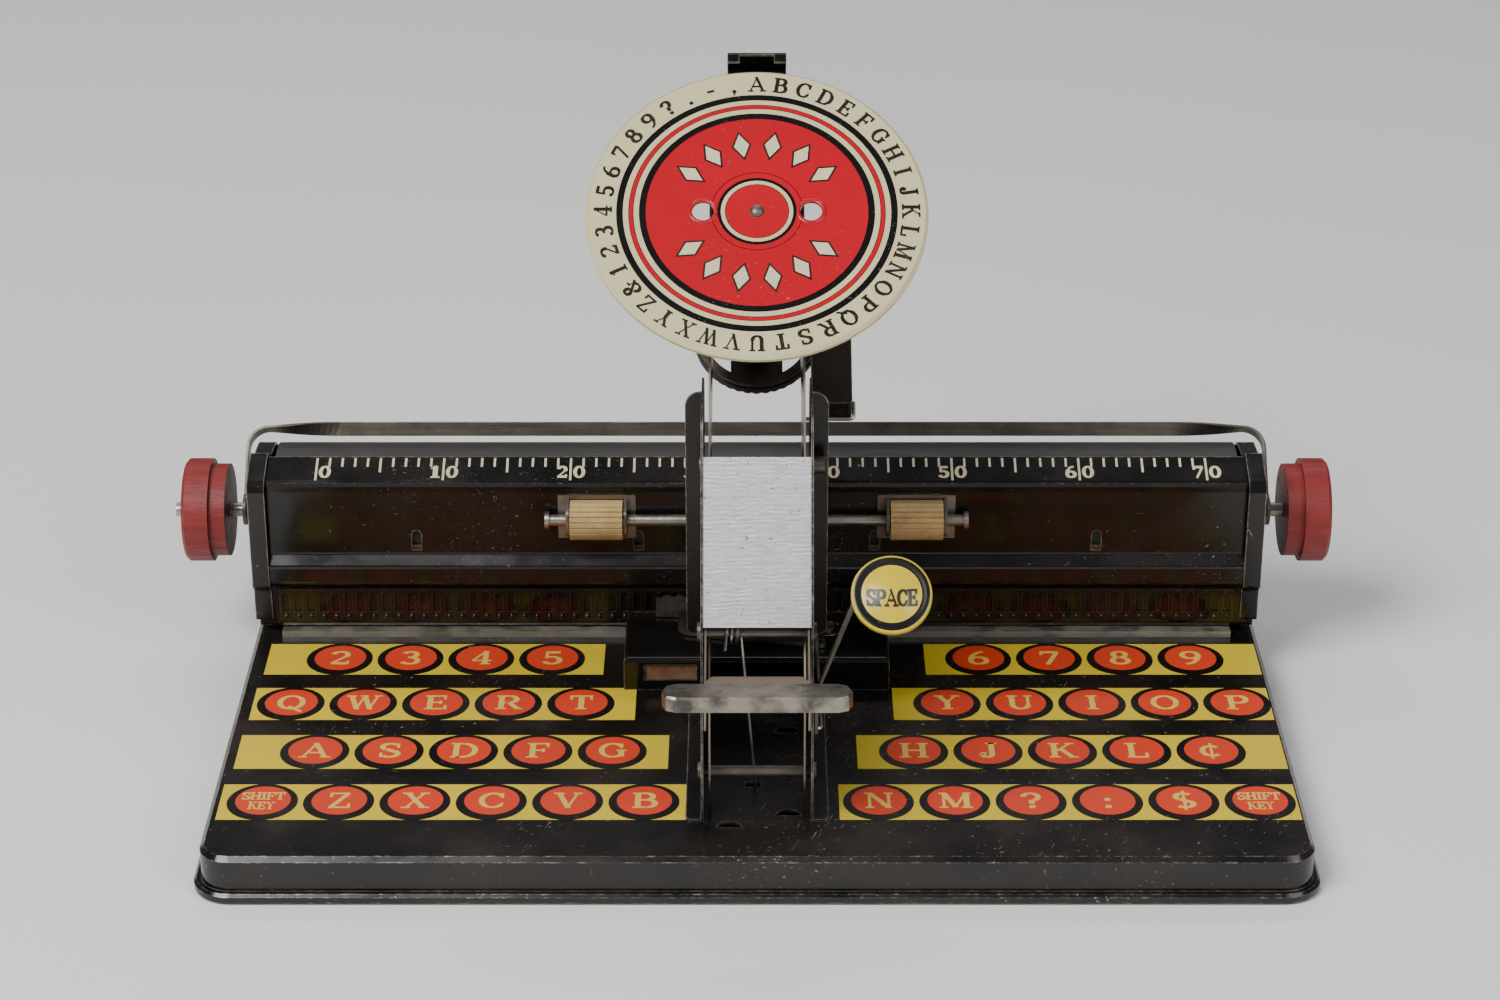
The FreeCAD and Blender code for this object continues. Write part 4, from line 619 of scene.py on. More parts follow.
def bare_metal(name, colour, stain, stretch, rough, metal=1.0, stained=0.6, bump=0.12):
    """Drawn or plated metal with a grain and dull blotches."""
    material, nodes, shader, place = blank(name)
    grain = nodes.use("grain", {"Place": place, "Stretch": stretch})
    mask = nodes.times(grain["Blotch"], stained)
    face = nodes.mixed(mask, colour, stain)
    darker = tuple(part * 0.55 for part in colour)
    nodes.feed(shader, {
        "Base Color": nodes.mixed(nodes.times(grain["Grain"], 0.3), face, darker),
        "Metallic": nodes.spread(mask, 0.0, 1.0, metal, metal * 0.55),
        "Roughness": nodes.spread(grain["Grain"], 0.0, 1.0, rough, rough + 0.2),
        "Normal": relief(nodes, grain["Grain"], bump, 0.0002),
    })
    return material


def matt(name, colour, other, stretch, rough, bump):
    """Wood, rubber or felt: a dull colour with a grain."""
    material, nodes, shader, place = blank(name)
    grain = nodes.use("grain", {"Place": place, "Stretch": stretch})
    mask = nodes.times(nodes.larger(grain["Grain"], grain["Blotch"]), 0.7)
    nodes.feed(shader, {
        "Base Color": nodes.mixed(mask, colour, other),
        "Roughness": nodes.spread(grain["Grain"], 0.0, 1.0, rough, min(1.0, rough + 0.15)),
        "Normal": relief(nodes, grain["Grain"], bump, 0.0003),
    })
    return material


def wrinkled_tin(name):
    """Bright tinplate with fine wavy wrinkles that run across it."""
    material, nodes, shader, place = blank(name)
    level = nodes.put("ShaderNodeSeparateXYZ", {"Vector": place}).outputs["Z"]
    wobble = nodes.times(nodes.noise(place, 210.0, 3.0), 13.0)
    wave = nodes.maths("SINE", nodes.maths("ADD", nodes.times(level, 6300.0), wobble))
    wave = nodes.times(wave, nodes.spread(nodes.noise(place, 320.0, 2.0), 0.40, 0.66))
    grain = nodes.use("grain", {"Place": place, "Stretch": (260.0, 1400.0, 1400.0)})["Grain"]
    fleck = nodes.spread(nodes.noise(place, 900.0, 2.0), 0.68, 0.72)
    face = nodes.mixed(nodes.times(grain, 0.5), (0.90, 0.90, 0.90), (0.76, 0.76, 0.76))
    nodes.feed(shader, {
        "Base Color": nodes.mixed(nodes.times(fleck, 0.8), face, (0.10, 0.08, 0.06)),
        "Metallic": nodes.spread(fleck, 0.0, 1.0, 0.6, 0.2),
        "Roughness": nodes.spread(grain, 0.0, 1.0, 0.24, 0.42),
        "Normal": relief(nodes, nodes.maths("ADD", wave, nodes.times(grain, 0.4)), 0.16, 0.0002),
    })
    return material


# Printed rings from the middle out: outer fraction of the radius, colour
DIAL_BANDS = (
    (0.042, BLACK), (0.18, RED), (0.186, BLACK), (0.208, IVORY), (0.2285, BLACK), (0.264, RED),
    (0.268, BLACK), (0.647, RED), (0.686, BLACK), (0.717, IVORY), (0.722, BLACK), (0.743, RED),
    (0.748, BLACK), (0.78, IVORY), (0.818, BLACK), (1.3, IVORY),
)
CAP_BANDS = ((0.745, YELLOW), (0.945, BLACK), (1.4, YELLOW))

# Gloss prints: colour, colour of smudges (None: darker), specks, scratches, and what differs from plain
GLOSS = {
    "tin_black_base": (BLACK, BLACK_BROWN, 0.55, 0.5, dict(edge=1.0, rough=0.15, shade=0.8)),
    "tin_black": (BLACK, BLACK_BROWN, 0.35, 0.45, dict(edge=0.8, rough=0.12)),
    "tin_black_frame": (BLACK, BLACK_BROWN, 0.35, 0.4, dict(edge=1.0)),
    "tin_black_arms": (BLACK, BLACK_BROWN, 0.3, 0.4,
                       dict(across=(1.0, 0.0, 0.0), rough=0.2, bare=(0.36, 0.30, 0.22))),
    "tin_ink": (BLACK, BLACK_BROWN, 0.25, 0.3, dict(edge=0.6, rough=0.34)),
    "rack_black": (BLACK, BLACK_BROWN, 0.6, 0.4,
                   dict(edge=1.0, across=(0.0, 1.0, 0.0), rough=0.16, bare=(0.13, 0.09, 0.06))),
    "print_yellow": (YELLOW, None, 0.7, 0.6, dict(rough=0.2)),
    "print_black": (BLACK, BLACK_BROWN, 0.4, 0.5, dict(rough=0.2)),
    "print_orange_red": (ORANGE, None, 0.6, 0.6, dict(rough=0.2, bare=(0.5, 0.33, 0.15))),
    "print_gold": (GOLD, (0.40, 0.25, 0.05), 0.6, 0.5, dict(rough=0.25)),
    "print_ivory": ((0.74, 0.66, 0.42), (0.42, 0.34, 0.18), 0.5, 0.4, dict(rough=0.28)),
    "print_ink": ((0.016, 0.012, 0.010), (0.05, 0.03, 0.02), 0.4, 0.5, dict(bare=(0.45, 0.36, 0.2))),
}
# Bare metals: colour, stain, grain's stretch, roughness, then metallic, stained share and bump
METALS = {
    "dark_strip": ((0.15, 0.14, 0.11), (0.05, 0.04, 0.03), (700.0, 60.0, 60.0), 0.36),
    "dark_bail": ((0.20, 0.175, 0.14), (0.055, 0.045, 0.035), (40.0, 600.0, 600.0), 0.34),
    "bright_rail": ((0.78, 0.74, 0.66), (0.34, 0.27, 0.19), (40.0, 900.0, 900.0), 0.3),
    "steel_strip": ((0.34, 0.30, 0.25), (0.09, 0.07, 0.05), (30.0, 700.0, 700.0), 0.28),
    "steel_wire": ((0.52, 0.49, 0.43), (0.16, 0.13, 0.10), (700.0, 40.0, 40.0), 0.24),
    "steel_pin": ((0.25, 0.22, 0.19), (0.06, 0.05, 0.04), (400.0, 400.0, 400.0), 0.34),
    "steel_rusty": ((0.34, 0.21, 0.12), (0.20, 0.07, 0.025), (300.0, 300.0, 300.0), 0.5, 0.55, 0.95),
    "worn_nickel": ((0.36, 0.32, 0.27), (0.045, 0.036, 0.03), (60.0, 260.0, 260.0), 0.22, 1.0, 0.95, 0.15),
}
# Wood, rubber and felt: colour, second colour, grain's stretch, roughness, bump
MATTS = {
    "red_wood": ((0.27, 0.020, 0.018), (0.13, 0.009, 0.009), (90.0, 520.0, 520.0), 0.45, 0.35),
    "plain_wood": ((0.40, 0.27, 0.14), (0.22, 0.14, 0.07), (120.0, 700.0, 700.0), 0.6, 0.3),
    "tan_rubber": ((0.62, 0.44, 0.19), (0.40, 0.25, 0.10), (300.0, 300.0, 300.0), 0.6, 0.25),
    "black_rubber": ((0.020, 0.019, 0.019), (0.045, 0.040, 0.036), (60.0, 900.0, 900.0), 0.42, 0.2),
    "type_rubber": ((0.022, 0.018, 0.022), (0.05, 0.04, 0.05), (600.0, 600.0, 600.0), 0.5, 0.3),
    "inked_felt": ((0.012, 0.010, 0.022), (0.03, 0.026, 0.045), (1500.0, 1500.0, 1500.0), 0.95, 0.8),
}
LOOKS = {}


def make_looks():
    """All the looks by name, made the first time that they are needed."""
    if LOOKS:
        return LOOKS
    make_groups()
    own = bpy.context.scene.typewriter_print
    colours = {"print_yellow": own.strip_colour, "print_orange_red": own.disc_colour,
               "print_gold": own.letter_colour}
    for name, (colour, dirt, specks, scratches, more) in GLOSS.items():
        LOOKS[name] = gloss_print(name, colours.get(name, colour), dirt, specks, scratches, **more)
    for name, numbers in METALS.items():
        LOOKS[name] = bare_metal(name, *numbers)
    for name, numbers in MATTS.items():
        LOOKS[name] = matt(name, *numbers)
    LOOKS["dial_print"] = ring_print("dial_print", DIAL_BANDS, DIAL_PLACE, DIAL_UP, DIAL_R, 0.8, 0.9)
    LOOKS["cap_print"] = ring_print("cap_print", CAP_BANDS, CAP_PLACE, CAP_UP, CAP_R, 0.9, 1.0, 0.2)
    LOOKS["wrinkled_tin"] = wrinkled_tin("wrinkled_tin")
    return LOOKS


# The look of each solid piece
NODE_LOOKS = {
    "tin_black_base": "base_shell",
    "tin_black": "carriage_guide carriage_hood carriage_rear carriage_end_left carriage_end_right pointer"
                 " spindle_bearing_upper spindle_bearing_lower",
    "tin_black_frame": "frame_left frame_right",
    "tin_black_arms": "arm_left_plate arm_right_plate lever_channel",
    "bright_rail": "carriage_rail_front carriage_rail_rear",
    "dark_strip": "space_lever spacing_pawl",
    "dark_bail": "paper_bail",
    "tin_ink": "ink_box ink_bracket",
    "rack_black": "rack_strip",
    "steel_strip": "paper_pan feed_bracket_left feed_bracket_right arm_web",
    "steel_wire": "return_spring bail_spring feed_rod platen_shaft ink_clip spindle space_link",
    "steel_pin": "guide_rivets arm_pivot_pin lever_pivot_pin stop_rod space_pivot_rivet dial_hub"
                 " type_wheel_core lever_link_pin",
    "steel_rusty": "guide_leaf",
    "wrinkled_tin": "front_cover",
    "worn_nickel": "print_handle",
    "red_wood": "knob_left knob_right",
    "plain_wood": "platen_end_plugs",
    "tan_rubber": "feed_roller_left feed_roller_right",
    "black_rubber": "platen_roller",
    "type_rubber": "type_ring",
    "inked_felt": "ink_felt",
    "dial_print": "dial_disc",
    "cap_print": "space_cap",
}


# ---------- sizes and colours for the user ----------
class PrintSizes(bpy.types.PropertyGroup):
    """Sizes and colours of the keyboard print."""
    strip_depth: FloatProperty(
        name="Strip depth", description="Depth of a yellow strip", default=0.0178, unit="LENGTH")
    key_pitch: FloatProperty(
        name="Key pitch", description="Distance between printed keys", default=0.01955, unit="LENGTH")
    key_radius: FloatProperty(
        name="Key radius", description="Radius of a black key circle", default=0.0091, unit="LENGTH")
    disc_radius: FloatProperty(
        name="Disc radius", description="Radius of an orange-red disc", default=0.0071, unit="LENGTH")
    letter_height: FloatProperty(
        name="Letter height", description="Height of a key's letter", default=0.0076, unit="LENGTH")
    print_step: FloatProperty(
        name="Print step", description="Thickness of one printed layer", default=0.00003, unit="LENGTH")
    strip_colour: FloatVectorProperty(
        name="Strip colour", description="Colour of the strips", subtype="COLOR", default=YELLOW)
    disc_colour: FloatVectorProperty(
        name="Disc colour", description="Colour of the discs", subtype="COLOR", default=ORANGE)
    letter_colour: FloatVectorProperty(
        name="Letter colour", description="Colour of the letters", subtype="COLOR", default=GOLD)


class ScaleSizes(bpy.types.PropertyGroup):
    """Sizes of the carriage scale and the rack's beads."""
    space_pitch: FloatProperty(
        name="Space pitch", description="Distance between scale marks", default=0.0035, unit="LENGTH")
    spaces: IntProperty(name="Spaces", description="Number of spaces on the scale", default=70, min=1)
    scale_start: FloatProperty(
        name="Scale start", description="Place of mark 0 along the carriage", default=-0.1212, unit="LENGTH")
    figure_height: FloatProperty(
        name="Figure height", description="Height of the scale's figures", default=0.0043, unit="LENGTH")
    mark_width: FloatProperty(
        name="Mark width", description="Width of a scale mark", default=0.00062, unit="LENGTH")
    bead_radius: FloatProperty(
        name="Bead radius", description="Radius of a bead under a notch", default=0.00075, unit="LENGTH")


class DialSizes(bpy.types.PropertyGroup):
    """Sizes of the dial's print."""
    character_radius: FloatProperty(
        name="Character radius", description="Radius of the ring of characters",
        default=0.0396, unit="LENGTH")
    character_height: FloatProperty(
        name="Character height", description="Height of a dial character", default=0.0046, unit="LENGTH")
    lozenges: IntProperty(
        name="Lozenges", description="Number of lozenges in the ornament", default=16, min=3)
    lozenge_radius: FloatProperty(
        name="Lozenge ring", description="Radius of the ring of lozenges", default=0.0205, unit="LENGTH")
    hole_radius: FloatProperty(
        name="Hole rim", description="Radius of a finger hole's pressed rim", default=0.0034, unit="LENGTH")
    hole_side: FloatProperty(
        name="Hole place", description="Distance of a finger hole from the middle",
        default=0.0139, unit="LENGTH")


class CapSizes(bpy.types.PropertyGroup):
    """Sizes of the space cap."""
    word_height: FloatProperty(
        name="Word height", description="Height of the word on the cap", default=0.0041, unit="LENGTH")
    word_width: FloatProperty(
        name="Word width", description="Width of the word on the cap", default=0.0126, unit="LENGTH")


class BailSizes(bpy.types.PropertyGroup):
    """Sizes of the paper bail."""
    angle: FloatProperty(
        name="Angle", description="Angle of the bail's arms above the level",
        default=math.radians(46.7), unit="ROTATION")
    reach: FloatProperty(
        name="Reach", description="Distance of the long bar from the platen's axis",
        default=0.024, unit="LENGTH")
    width: FloatProperty(name="Width", description="Width of the strip", default=0.0040, unit="LENGTH")
    thickness: FloatProperty(
        name="Thickness", description="Thickness of the strip", default=0.0008, unit="LENGTH")
    corner: FloatProperty(
        name="Corner", description="Radius of the strip's corners", default=0.006, unit="LENGTH")
    twist: FloatProperty(
        name="Twist", description="Length over which the strip turns its flat side",
        default=0.020, unit="LENGTH")
    bar_lean: FloatProperty(
        name="Bar lean", description="Lean of the long bar's flat side from upright",
        default=math.radians(20), unit="ROTATION")
    eye_radius: FloatProperty(
        name="Eye radius", description="Outer radius of the eye round the shaft",
        default=0.0044, unit="LENGTH")
    eye_hole: FloatProperty(
        name="Eye hole", description="Radius of the eye's hole", default=0.0024, unit="LENGTH")


class StageSizes(bpy.types.PropertyGroup):
    """Light on the stage."""
    key_light: FloatProperty(
        name="Key light", description="Strength of the main soft light", default=28.0, unit="POWER")
    fill_light: FloatProperty(
        name="Fill light", description="Strength of the fill light", default=9.0, unit="POWER")
    floor_colour: FloatVectorProperty(
        name="Floor colour", description="Colour of the floor", subtype="COLOR", default=(0.88, 0.87, 0.85))


# ---------- operators ----------
class TYPEWRITER_OT_finishes(bpy.types.Operator):
    """Give every solid piece its finish"""
    bl_idname = "typewriter.finishes"
    bl_label = "Finish the frame"

    def execute(self, context):
        looks = make_looks()
        left = set(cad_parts)
        for look, nodes in NODE_LOOKS.items():
            for node in nodes.split():
                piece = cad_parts[node]
                for place in piece.material_slots:
                    place.material = looks[look]
                if not piece.material_slots:
                    piece.data.materials.append(looks[look])
                left.remove(node)
        if left:
            raise RuntimeError("no finish for " + ", ".join(sorted(left)))
        return {"FINISHED"}


def on_base(a, b, height):
    return Vector((a, b, BASE_TOP + height))


def key_letter(key, x, y, height):
    """The outlines of a key's letter or words, for a disc with its middle at x, y."""
    if key == "^":
        out = []
        for word, rise, width in SHIFT_WORDS:
            out += word_shapes(word, x - DISC_RIGHT, y - DISC_BACK + rise, SHIFT_HEIGHT, width, SHIFT_BOLD)
        return out
    shapes, width = stroke_shapes(key)
    scale = height / 10
    return [[(x + (a - width / 2) * scale * LETTER_WIDE, y + (b - 5) * scale) for a, b in shape]
            for shape in bold(shapes, LETTER_BOLD)]


class TYPEWRITER_OT_keyboard(bpy.types.Operator):
    """Print the yellow strips, the key discs and their letters on the base"""
    bl_idname = "typewriter.keyboard"
    bl_label = "Keyboard print"

    def execute(self, context):
        looks = make_looks()
        sizes = context.scene.typewriter_print
        step = sizes.print_step
        strips, circles, discs, letters = [], [], [], []
        for back_mm, *halves in KEY_ROWS:
            y = back_mm * MM + BASE_FRONT
            for start_mm, end_mm, first_mm, keys in halves:
                strips.append(ribbon(start_mm * MM, y, end_mm * MM, y, 0, sizes.strip_depth / 2))
                for i, key in enumerate(keys):
                    x = first_mm * MM + i * sizes.key_pitch
                    disc = (x + DISC_RIGHT, y + DISC_BACK)
                    circles.append(on_base(x, y, 1.5 * step))
                    discs.append(on_base(*disc, 2.5 * step))
                    letters += key_letter(key, *disc, sizes.letter_height)
        strip = plates("key_strips", strips, on_base, 0.0, step)
        finished(strip, "base", looks["print_yellow"])
        for name, points, radius, look in (("key_circles", circles, sizes.key_radius, "print_black"),
                                           ("key_discs", discs, sizes.disc_radius, "print_orange_red")):
            inputs = {"Vertices": 48, "Radius": radius, "Depth": step}
            rounds = repeated(name, points, "GeometryNodeMeshCylinder", inputs, looks[look])
            finished(rounds, "base")
        letter = plates("key_letters", letters, on_base, 3 * step, 4 * step)
        finished(letter, "base", looks["print_gold"])
        return {"FINISHED"}


def on_slope(a, b, height):
    return SLOPE_FRONT + RIGHT * a + SLOPE_WAY * b + SLOPE_OUT * height


class TYPEWRITER_OT_scale(bpy.types.Operator):
    """Print the scale on the carriage hood and set the beads under the rack's notches"""
    bl_idname = "typewriter.scale"
    bl_label = "Carriage scale"

    def execute(self, context):
        looks = make_looks()
        sizes = context.scene.typewriter_scale
        points, scales, shapes = [], [], []
        for i in range(sizes.spaces + 1):
            length_mm = MARKS_MM.get(i % 10, SHORT_MARK_MM)
            x = sizes.scale_start + i * sizes.space_pitch
            points.append(on_slope(x, (MARK_TOP_MM - length_mm / 2) * MM, PRINT / 2))
            scales.append((1.0, length_mm, 1.0))
            if i % 10 == 0:
                # the ten stands left of its mark, the nought right of it
                figure = (FIGURES_UP, sizes.figure_height, sizes.figure_height * FIGURE_WIDE, FIGURE_BOLD)
                if i:
                    shapes += word_shapes(str(i // 10), x - TEN_LEFT, *figure)
                shapes += word_shapes("0", x + NOUGHT_RIGHT, *figure)
        inputs = {"Size": (sizes.mark_width, MM, PRINT)}
        turn = (math.atan2(SLOPE_WAY.z, SLOPE_WAY.y), 0.0, 0.0)
        marks = repeated("scale_marks", points, "GeometryNodeMeshCube", inputs, looks["print_ivory"],
                         turn, scales)
        finished(marks, "carriage")
        figures = plates("scale_figures", shapes, on_slope, 0.0, PRINT)
        finished(figures, "carriage", looks["print_ivory"])
        beads = []
        for i in range(round((RACK_HIGH.x - RACK_LOW.x) / sizes.space_pitch)):
            beads.append(RACK_LOW + Vector(((i + 0.5) * sizes.space_pitch, 0.0001, 0.0014)))
        inputs = {"Segments": 10, "Rings": 6, "Radius": sizes.bead_radius}
        row = repeated("rack_beads", beads, "GeometryNodeMeshUVSphere", inputs, looks["tin_black"])
        for face in row.data.polygons:
            face.use_smooth = True
        finished(row, "carriage")
        return {"FINISHED"}


def on_dial(a, b, height):
    return DIAL_PLACE + RIGHT * a + DIAL_UP * b + DIAL_OUT * height


def around(shape, turn):
    """An outline turned round the middle."""
    return [(a * math.cos(turn) - b * math.sin(turn), a * math.sin(turn) + b * math.cos(turn))
            for a, b in shape]


class TYPEWRITER_OT_dial(bpy.types.Operator):
    """Print the dial's characters and ornament and press the rims of its finger holes"""
    bl_idname = "typewriter.dial"
    bl_label = "Dial face"

    def execute(self, context):
        looks = make_looks()
        sizes = context.scene.typewriter_dial
        shapes = []
        scale = sizes.character_height / 10
        for i, character in enumerate(DIAL_CHARACTERS):
            strokes, width = stroke_shapes(character)
            for shape in bold(strokes, CHARACTER_BOLD):
                top = [((a - width / 2) * scale * CHARACTER_WIDE, sizes.character_radius + (b - 5) * scale)
                       for a, b in shape]
                shapes.append(around(top, -math.tau * i / len(DIAL_CHARACTERS)))
        ring = plates("dial_characters", shapes, on_dial, 0.0, PRINT)
        finished(ring, "dial", looks["print_ink"])

        turns = [math.tau * (i + 0.5) / sizes.lozenges for i in range(sizes.lozenges)]
        turns = [turn for turn in turns if abs(math.sin(turn)) >= LOZENGE_SINE]
        for name, half, low, high, look in (
                ("dial_lozenge_edges", 0.0046, 0.00001, 0.00004, "print_ink"),
                ("dial_lozenges", 0.0036, 0.00002, 0.00006, "print_ivory")):
            middle = sizes.lozenge_radius
            waist = half * LOZENGE_WAIST
            lozenge = [(middle + half, 0), (middle, waist), (middle - half, 0), (middle, -waist)]
            parts = [around(lozenge, turn) for turn in turns]
            finished(plates(name, parts, on_dial, low, high), "dial", looks[look])

        radius = sizes.hole_radius
        profile = [(radius - 0.0005, -0.0004), (radius - 0.0005, 0.0001), (radius - 0.0002, 0.0003),
                   (radius + 0.0002, 0.0003), (radius + 0.0006, 0.00003), (radius + 0.0006, -0.0002)]
        for name, side in (("hole_rim_left", -1), ("hole_rim_right", 1)):
            place = on_dial(side * sizes.hole_side, 0, 0)
            rim = turned(name, profile, place, DIAL_OUT, DIAL_UP, 40, closed=True)
            finished(rim, "dial", looks["dial_print"])
        return {"FINISHED"}


def cap_height(radius):
    """Height of the space cap's face at a radius: a shallow dome, a groove and a rolled rim."""
    if radius < CAP_DOME_R:
        return 0.0005 + 0.0021 * math.cos(math.pi / 2 * radius / 0.0078) ** 0.8
    if radius < CAP_GROOVE_R:
        return 0.0008 + 0.0002 * (radius - CAP_DOME_R) / (CAP_GROOVE_R - CAP_DOME_R)
    turn = (radius - CAP_GROOVE_R) / (CAP_R - CAP_GROOVE_R) * math.pi / 2
    return 0.00045 + 0.00055 * math.cos(turn)


def on_cap(a, b, height):
    return CAP_PLACE + RIGHT * a + CAP_UP * b + CAP_OUT * (cap_height(math.hypot(a, b)) + height)


# Undersides of the cap and its stem as (radius, height)
CAP_INSIDE = [(0.0100, -0.0012), (0.0094, -0.0012), (0.0094, 0.0002), (0.0074, 0.0002), (0.0045, 0.0012),
              (0.0, 0.0018)]
CAP_STEM = [(0.0, -0.0012), (0.0016, -0.0012), (0.0016, 0.0015), (0.0, 0.0015)]


class TYPEWRITER_OT_cap(bpy.types.Operator):
    """Press the space cap's domed face and print its word"""
    bl_idname = "typewriter.cap"
    bl_label = "Space cap"

    def execute(self, context):
        looks = make_looks()
        sizes = context.scene.typewriter_cap
        radii = [CAP_R * i / 20 for i in range(21)]
        face = [(radius, cap_height(radius)) for radius in radii]
        dome = turned("cap_face", face + CAP_INSIDE, CAP_PLACE, CAP_OUT, CAP_UP)
        finished(dome, "space_key", looks["cap_print"])
        stem = turned("cap_stem", CAP_STEM, CAP_PLACE, CAP_OUT, CAP_UP, 24)
        finished(stem, "space_key", looks["steel_strip"])
        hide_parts("space_cap")
        pieces = []
        for shape in word_shapes("SPACE", 0.0, WORD_FOOT, sizes.word_height, sizes.word_width, WORD_BOLD):
            for part in split(shape, WORD_PART):
                pieces.append([(a, b + WORD_BEND * a * a) for a, b in part])
        word = plates("cap_word", pieces, on_cap, WORD_LOW, WORD_HIGH)
        finished(word, "space_key", looks["print_ink"])
        return {"FINISHED"}


class TYPEWRITER_OT_bail(bpy.types.Operator):
    """Bend the paper bail from flat strip, with the long bar's flat side to the front"""
    bl_idname = "typewriter.bail"
    bl_label = "Paper bail"

    def execute(self, context):
        looks = make_looks()
        sizes = context.scene.typewriter_bail
        arm = Vector((0, math.cos(sizes.angle), math.sin(sizes.angle)))
        flat_arm = Vector((0, -math.sin(sizes.angle), math.cos(sizes.angle)))
        flat_bar = Vector((0, math.sin(sizes.bar_lean), math.cos(sizes.bar_lean)))
        half = sizes.thickness / 2
        half_x = BAIL_RIGHT - half
        bend = sizes.corner
        bend_steps, twist_steps = 8, 12
        rings = []
        for side in (-1, 1):
            way = RIGHT * side
            # arm, corner and twist, each as (place, way through the strip, way across it)
            ends = [(PLATEN_AXIS + arm * (sizes.eye_radius - 0.0006) + way * half_x, way, flat_arm)]
            for i in range(bend_steps + 1):
                turn = math.pi / 2 * i / bend_steps
                out = way * math.cos(turn) + arm * math.sin(turn)
                middle = PLATEN_AXIS + arm * (sizes.reach - bend) + way * (half_x - bend)
                ends.append((middle + out * bend, out, flat_arm))
            for i in range(1, twist_steps + 1):
                share = i / twist_steps
                place = PLATEN_AXIS + arm * sizes.reach + way * (half_x - bend - sizes.twist * share)
                flat = flat_arm.lerp(flat_bar, share).normalized()
                out = flat.cross(way)
                ends.append((place, out if out.dot(arm) > 0 else -out, flat))
            for place, out, flat in ends[::-side]:
                a, b = out * half, flat * sizes.width / 2
                rings.append([place + corner for corner in (a + b, a - b, -a - b, -a + b)])
        strip = skinned("bail_strip", rings)
        finished(strip, "bail", looks["dark_bail"])
        bevel = strip.modifiers.new("rounded_edges", "BEVEL")
        bevel.width = sizes.thickness * 0.22
        bevel.segments = 2
        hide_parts("paper_bail")
        ring = [(sizes.eye_hole, -half), (sizes.eye_radius, -half),
                (sizes.eye_radius, half), (sizes.eye_hole, half)]
        for name, side in (("bail_eye_left", -1), ("bail_eye_right", 1)):
            place = PLATEN_AXIS + RIGHT * side * half_x
            eye = turned(name, ring, place, RIGHT, UP, 40, closed=True, across=BACK, smooth=False)
            finished(eye, "bail", looks["dark_bail"])
        return {"FINISHED"}


# Pressed ring round a rivet, and the dial's bolt, as (radius, height)
GUIDE_RING = [(0.0036, -0.0002), (0.0038, 0.0001), (0.0042, 0.00024), (0.0046, 0.0001), (0.0048, -0.0002)]
DIAL_BOLT = [(0.0, 0.0011), (0.0011, 0.0009), (0.0018, 0.0003), (0.0019, 0.0), (0.0, 0.0)]


class TYPEWRITER_OT_guide(bpy.types.Operator):
    """Press the rings round the guide's rivets and bolt the dial's middle"""
    bl_idname = "typewriter.guide"
    bl_label = "Guide and bolt"

    def execute(self, context):
        looks = make_looks()
        for name, x in (("guide_ring_left", -0.017), ("guide_ring_right", 0.019)):
            place = Vector((x, 0.0182, GUIDE_TOP))
            ring = turned(name, GUIDE_RING, place, UP, BACK, 48, closed=True)
            finished(ring, "base", looks["tin_black"])
        bolt = turned("dial_bolt", DIAL_BOLT, DIAL_PLACE, DIAL_OUT, DIAL_UP, 32)
        finished(bolt, "dial", looks["steel_pin"])
        return {"FINISHED"}


LIGHTS_AIM = Vector((0, 0, 0.05))
BACK_SHARE = 0.3
FLOOR_HALF = 6
SKY_COLOUR = (0.9, 0.93, 1.0, 1.0)
SKY_STRENGTH = 0.16
CAMERA_PLACE = (-0.0018, -0.8309, 0.4660)
CAMERA_TILT = math.radians(64.5)
CAMERA_LENS_MM = 83.52
CAMERA_FILM_MM = 36.0


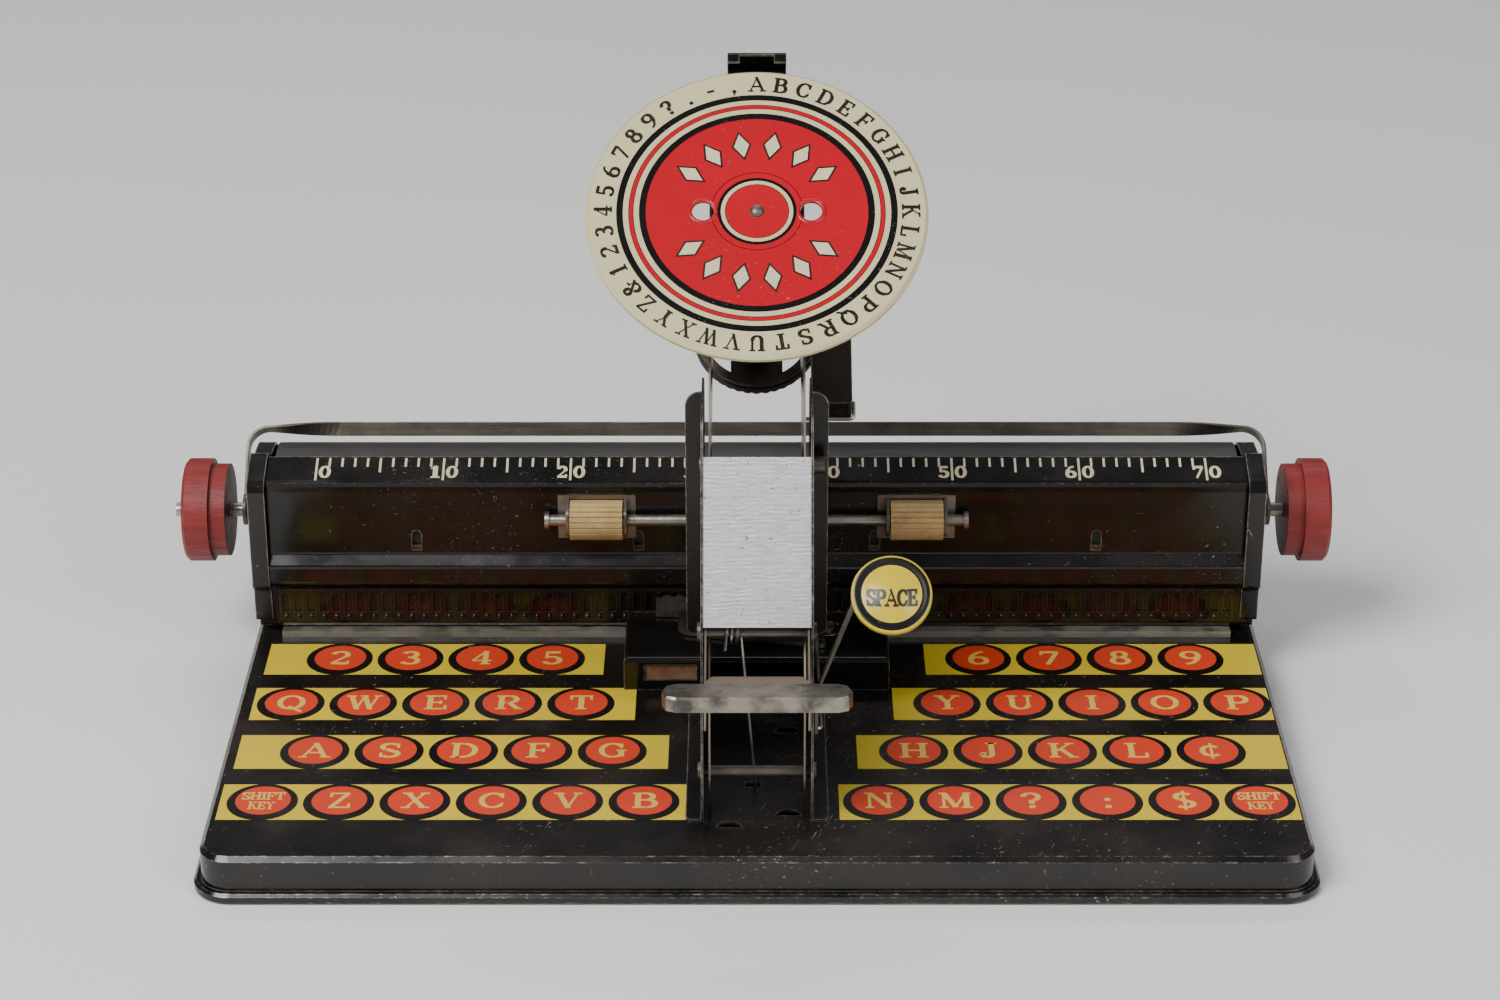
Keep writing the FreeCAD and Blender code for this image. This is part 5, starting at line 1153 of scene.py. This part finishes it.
class TYPEWRITER_OT_stage(bpy.types.Operator):
    """Lay the floor and set the lights and the camera"""
    bl_idname = "typewriter.stage"
    bl_label = "Stage"

    def execute(self, context):
        scene = context.scene
        sizes = scene.typewriter_stage
        material, nodes, shader, place = blank("pale_floor")
        cloud = nodes.spread(nodes.noise(place, 3.0, 3.0), 0.3, 0.7)
        darker = tuple(part * 0.97 for part in sizes.floor_colour)
        nodes.feed(shader, {"Base Color": nodes.mixed(cloud, sizes.floor_colour, darker), "Roughness": 0.65})
        data = bpy.data.meshes.new("floor")
        corners = [(x * FLOOR_HALF, y * FLOOR_HALF, 0) for x, y in ((-1, -1), (1, -1), (1, 1), (-1, 1))]
        data.from_pydata(corners, [], [(0, 1, 2, 3)])
        data.materials.append(material)
        linked("floor", data)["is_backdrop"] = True

        for name, place, width, height, power in (
                ("key_light", (-0.75, -0.75, 1.25), 0.8, 0.8, sizes.key_light),
                ("back_light", (0.0, 1.25, 1.65), 1.7, 0.18, sizes.key_light * BACK_SHARE),
                ("fill_light", (0.95, -0.85, 0.9), 0.9, 0.9, sizes.fill_light)):
            light = bpy.data.lights.new(name, "AREA")
            light.shape = "RECTANGLE"
            light.size = width
            light.size_y = height
            light.energy = power
            lamp = linked(name, light)
            lamp.location = place
            lamp.rotation_euler = (LIGHTS_AIM - Vector(place)).to_track_quat("-Z", "Y").to_euler()

        scene.world = bpy.data.worlds.new("studio")
        scene.world.use_nodes = True
        sky = scene.world.node_tree.nodes["Background"].inputs
        sky["Color"].default_value = SKY_COLOUR
        sky["Strength"].default_value = SKY_STRENGTH

        lens = bpy.data.cameras.new("camera")
        lens.lens = CAMERA_LENS_MM
        lens.sensor_width = CAMERA_FILM_MM
        scene.camera = linked("camera", lens)
        scene.camera.location = CAMERA_PLACE
        scene.camera.rotation_euler = (CAMERA_TILT, 0.0, 0.0)
        return {"FINISHED"}


class TYPEWRITER_PT_panel(bpy.types.Panel):
    """Lists the typewriter's sizes and a button for each of its operators"""
    bl_idname = "TYPEWRITER_PT_panel"
    bl_label = "Index typewriter"
    bl_space_type = "VIEW_3D"
    bl_region_type = "UI"
    bl_category = "Typewriter"

    def draw(self, context):
        for owner, sizes in SIZES.items():
            box = self.layout.box()
            for name in sizes.__annotations__:
                box.prop(getattr(context.scene, owner), name)
        for operator in OPERATORS:
            self.layout.operator(operator.bl_idname)


SIZES = {
    "typewriter_print": PrintSizes,
    "typewriter_scale": ScaleSizes,
    "typewriter_dial": DialSizes,
    "typewriter_cap": CapSizes,
    "typewriter_bail": BailSizes,
    "typewriter_stage": StageSizes,
}
OPERATORS = (
    TYPEWRITER_OT_finishes,
    TYPEWRITER_OT_keyboard,
    TYPEWRITER_OT_scale,
    TYPEWRITER_OT_dial,
    TYPEWRITER_OT_cap,
    TYPEWRITER_OT_bail,
    TYPEWRITER_OT_guide,
    TYPEWRITER_OT_stage,
)
CLASSES = (*SIZES.values(), *OPERATORS, TYPEWRITER_PT_panel)


def register():
    for each in CLASSES:
        bpy.utils.register_class(each)
    for owner, sizes in SIZES.items():
        setattr(bpy.types.Scene, owner, PointerProperty(type=sizes))


def unregister():
    for owner in SIZES:
        delattr(bpy.types.Scene, owner)
    for each in reversed(CLASSES):
        bpy.utils.unregister_class(each)


def main():
    def corners():
        return [[round(float(v), 6) for v in corner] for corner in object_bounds()]

    register()
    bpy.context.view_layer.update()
    for operator in OPERATORS:
        getattr(bpy.ops.typewriter, operator.bl_idname.split(".")[1])()


if __name__ == "__main__":
    main()
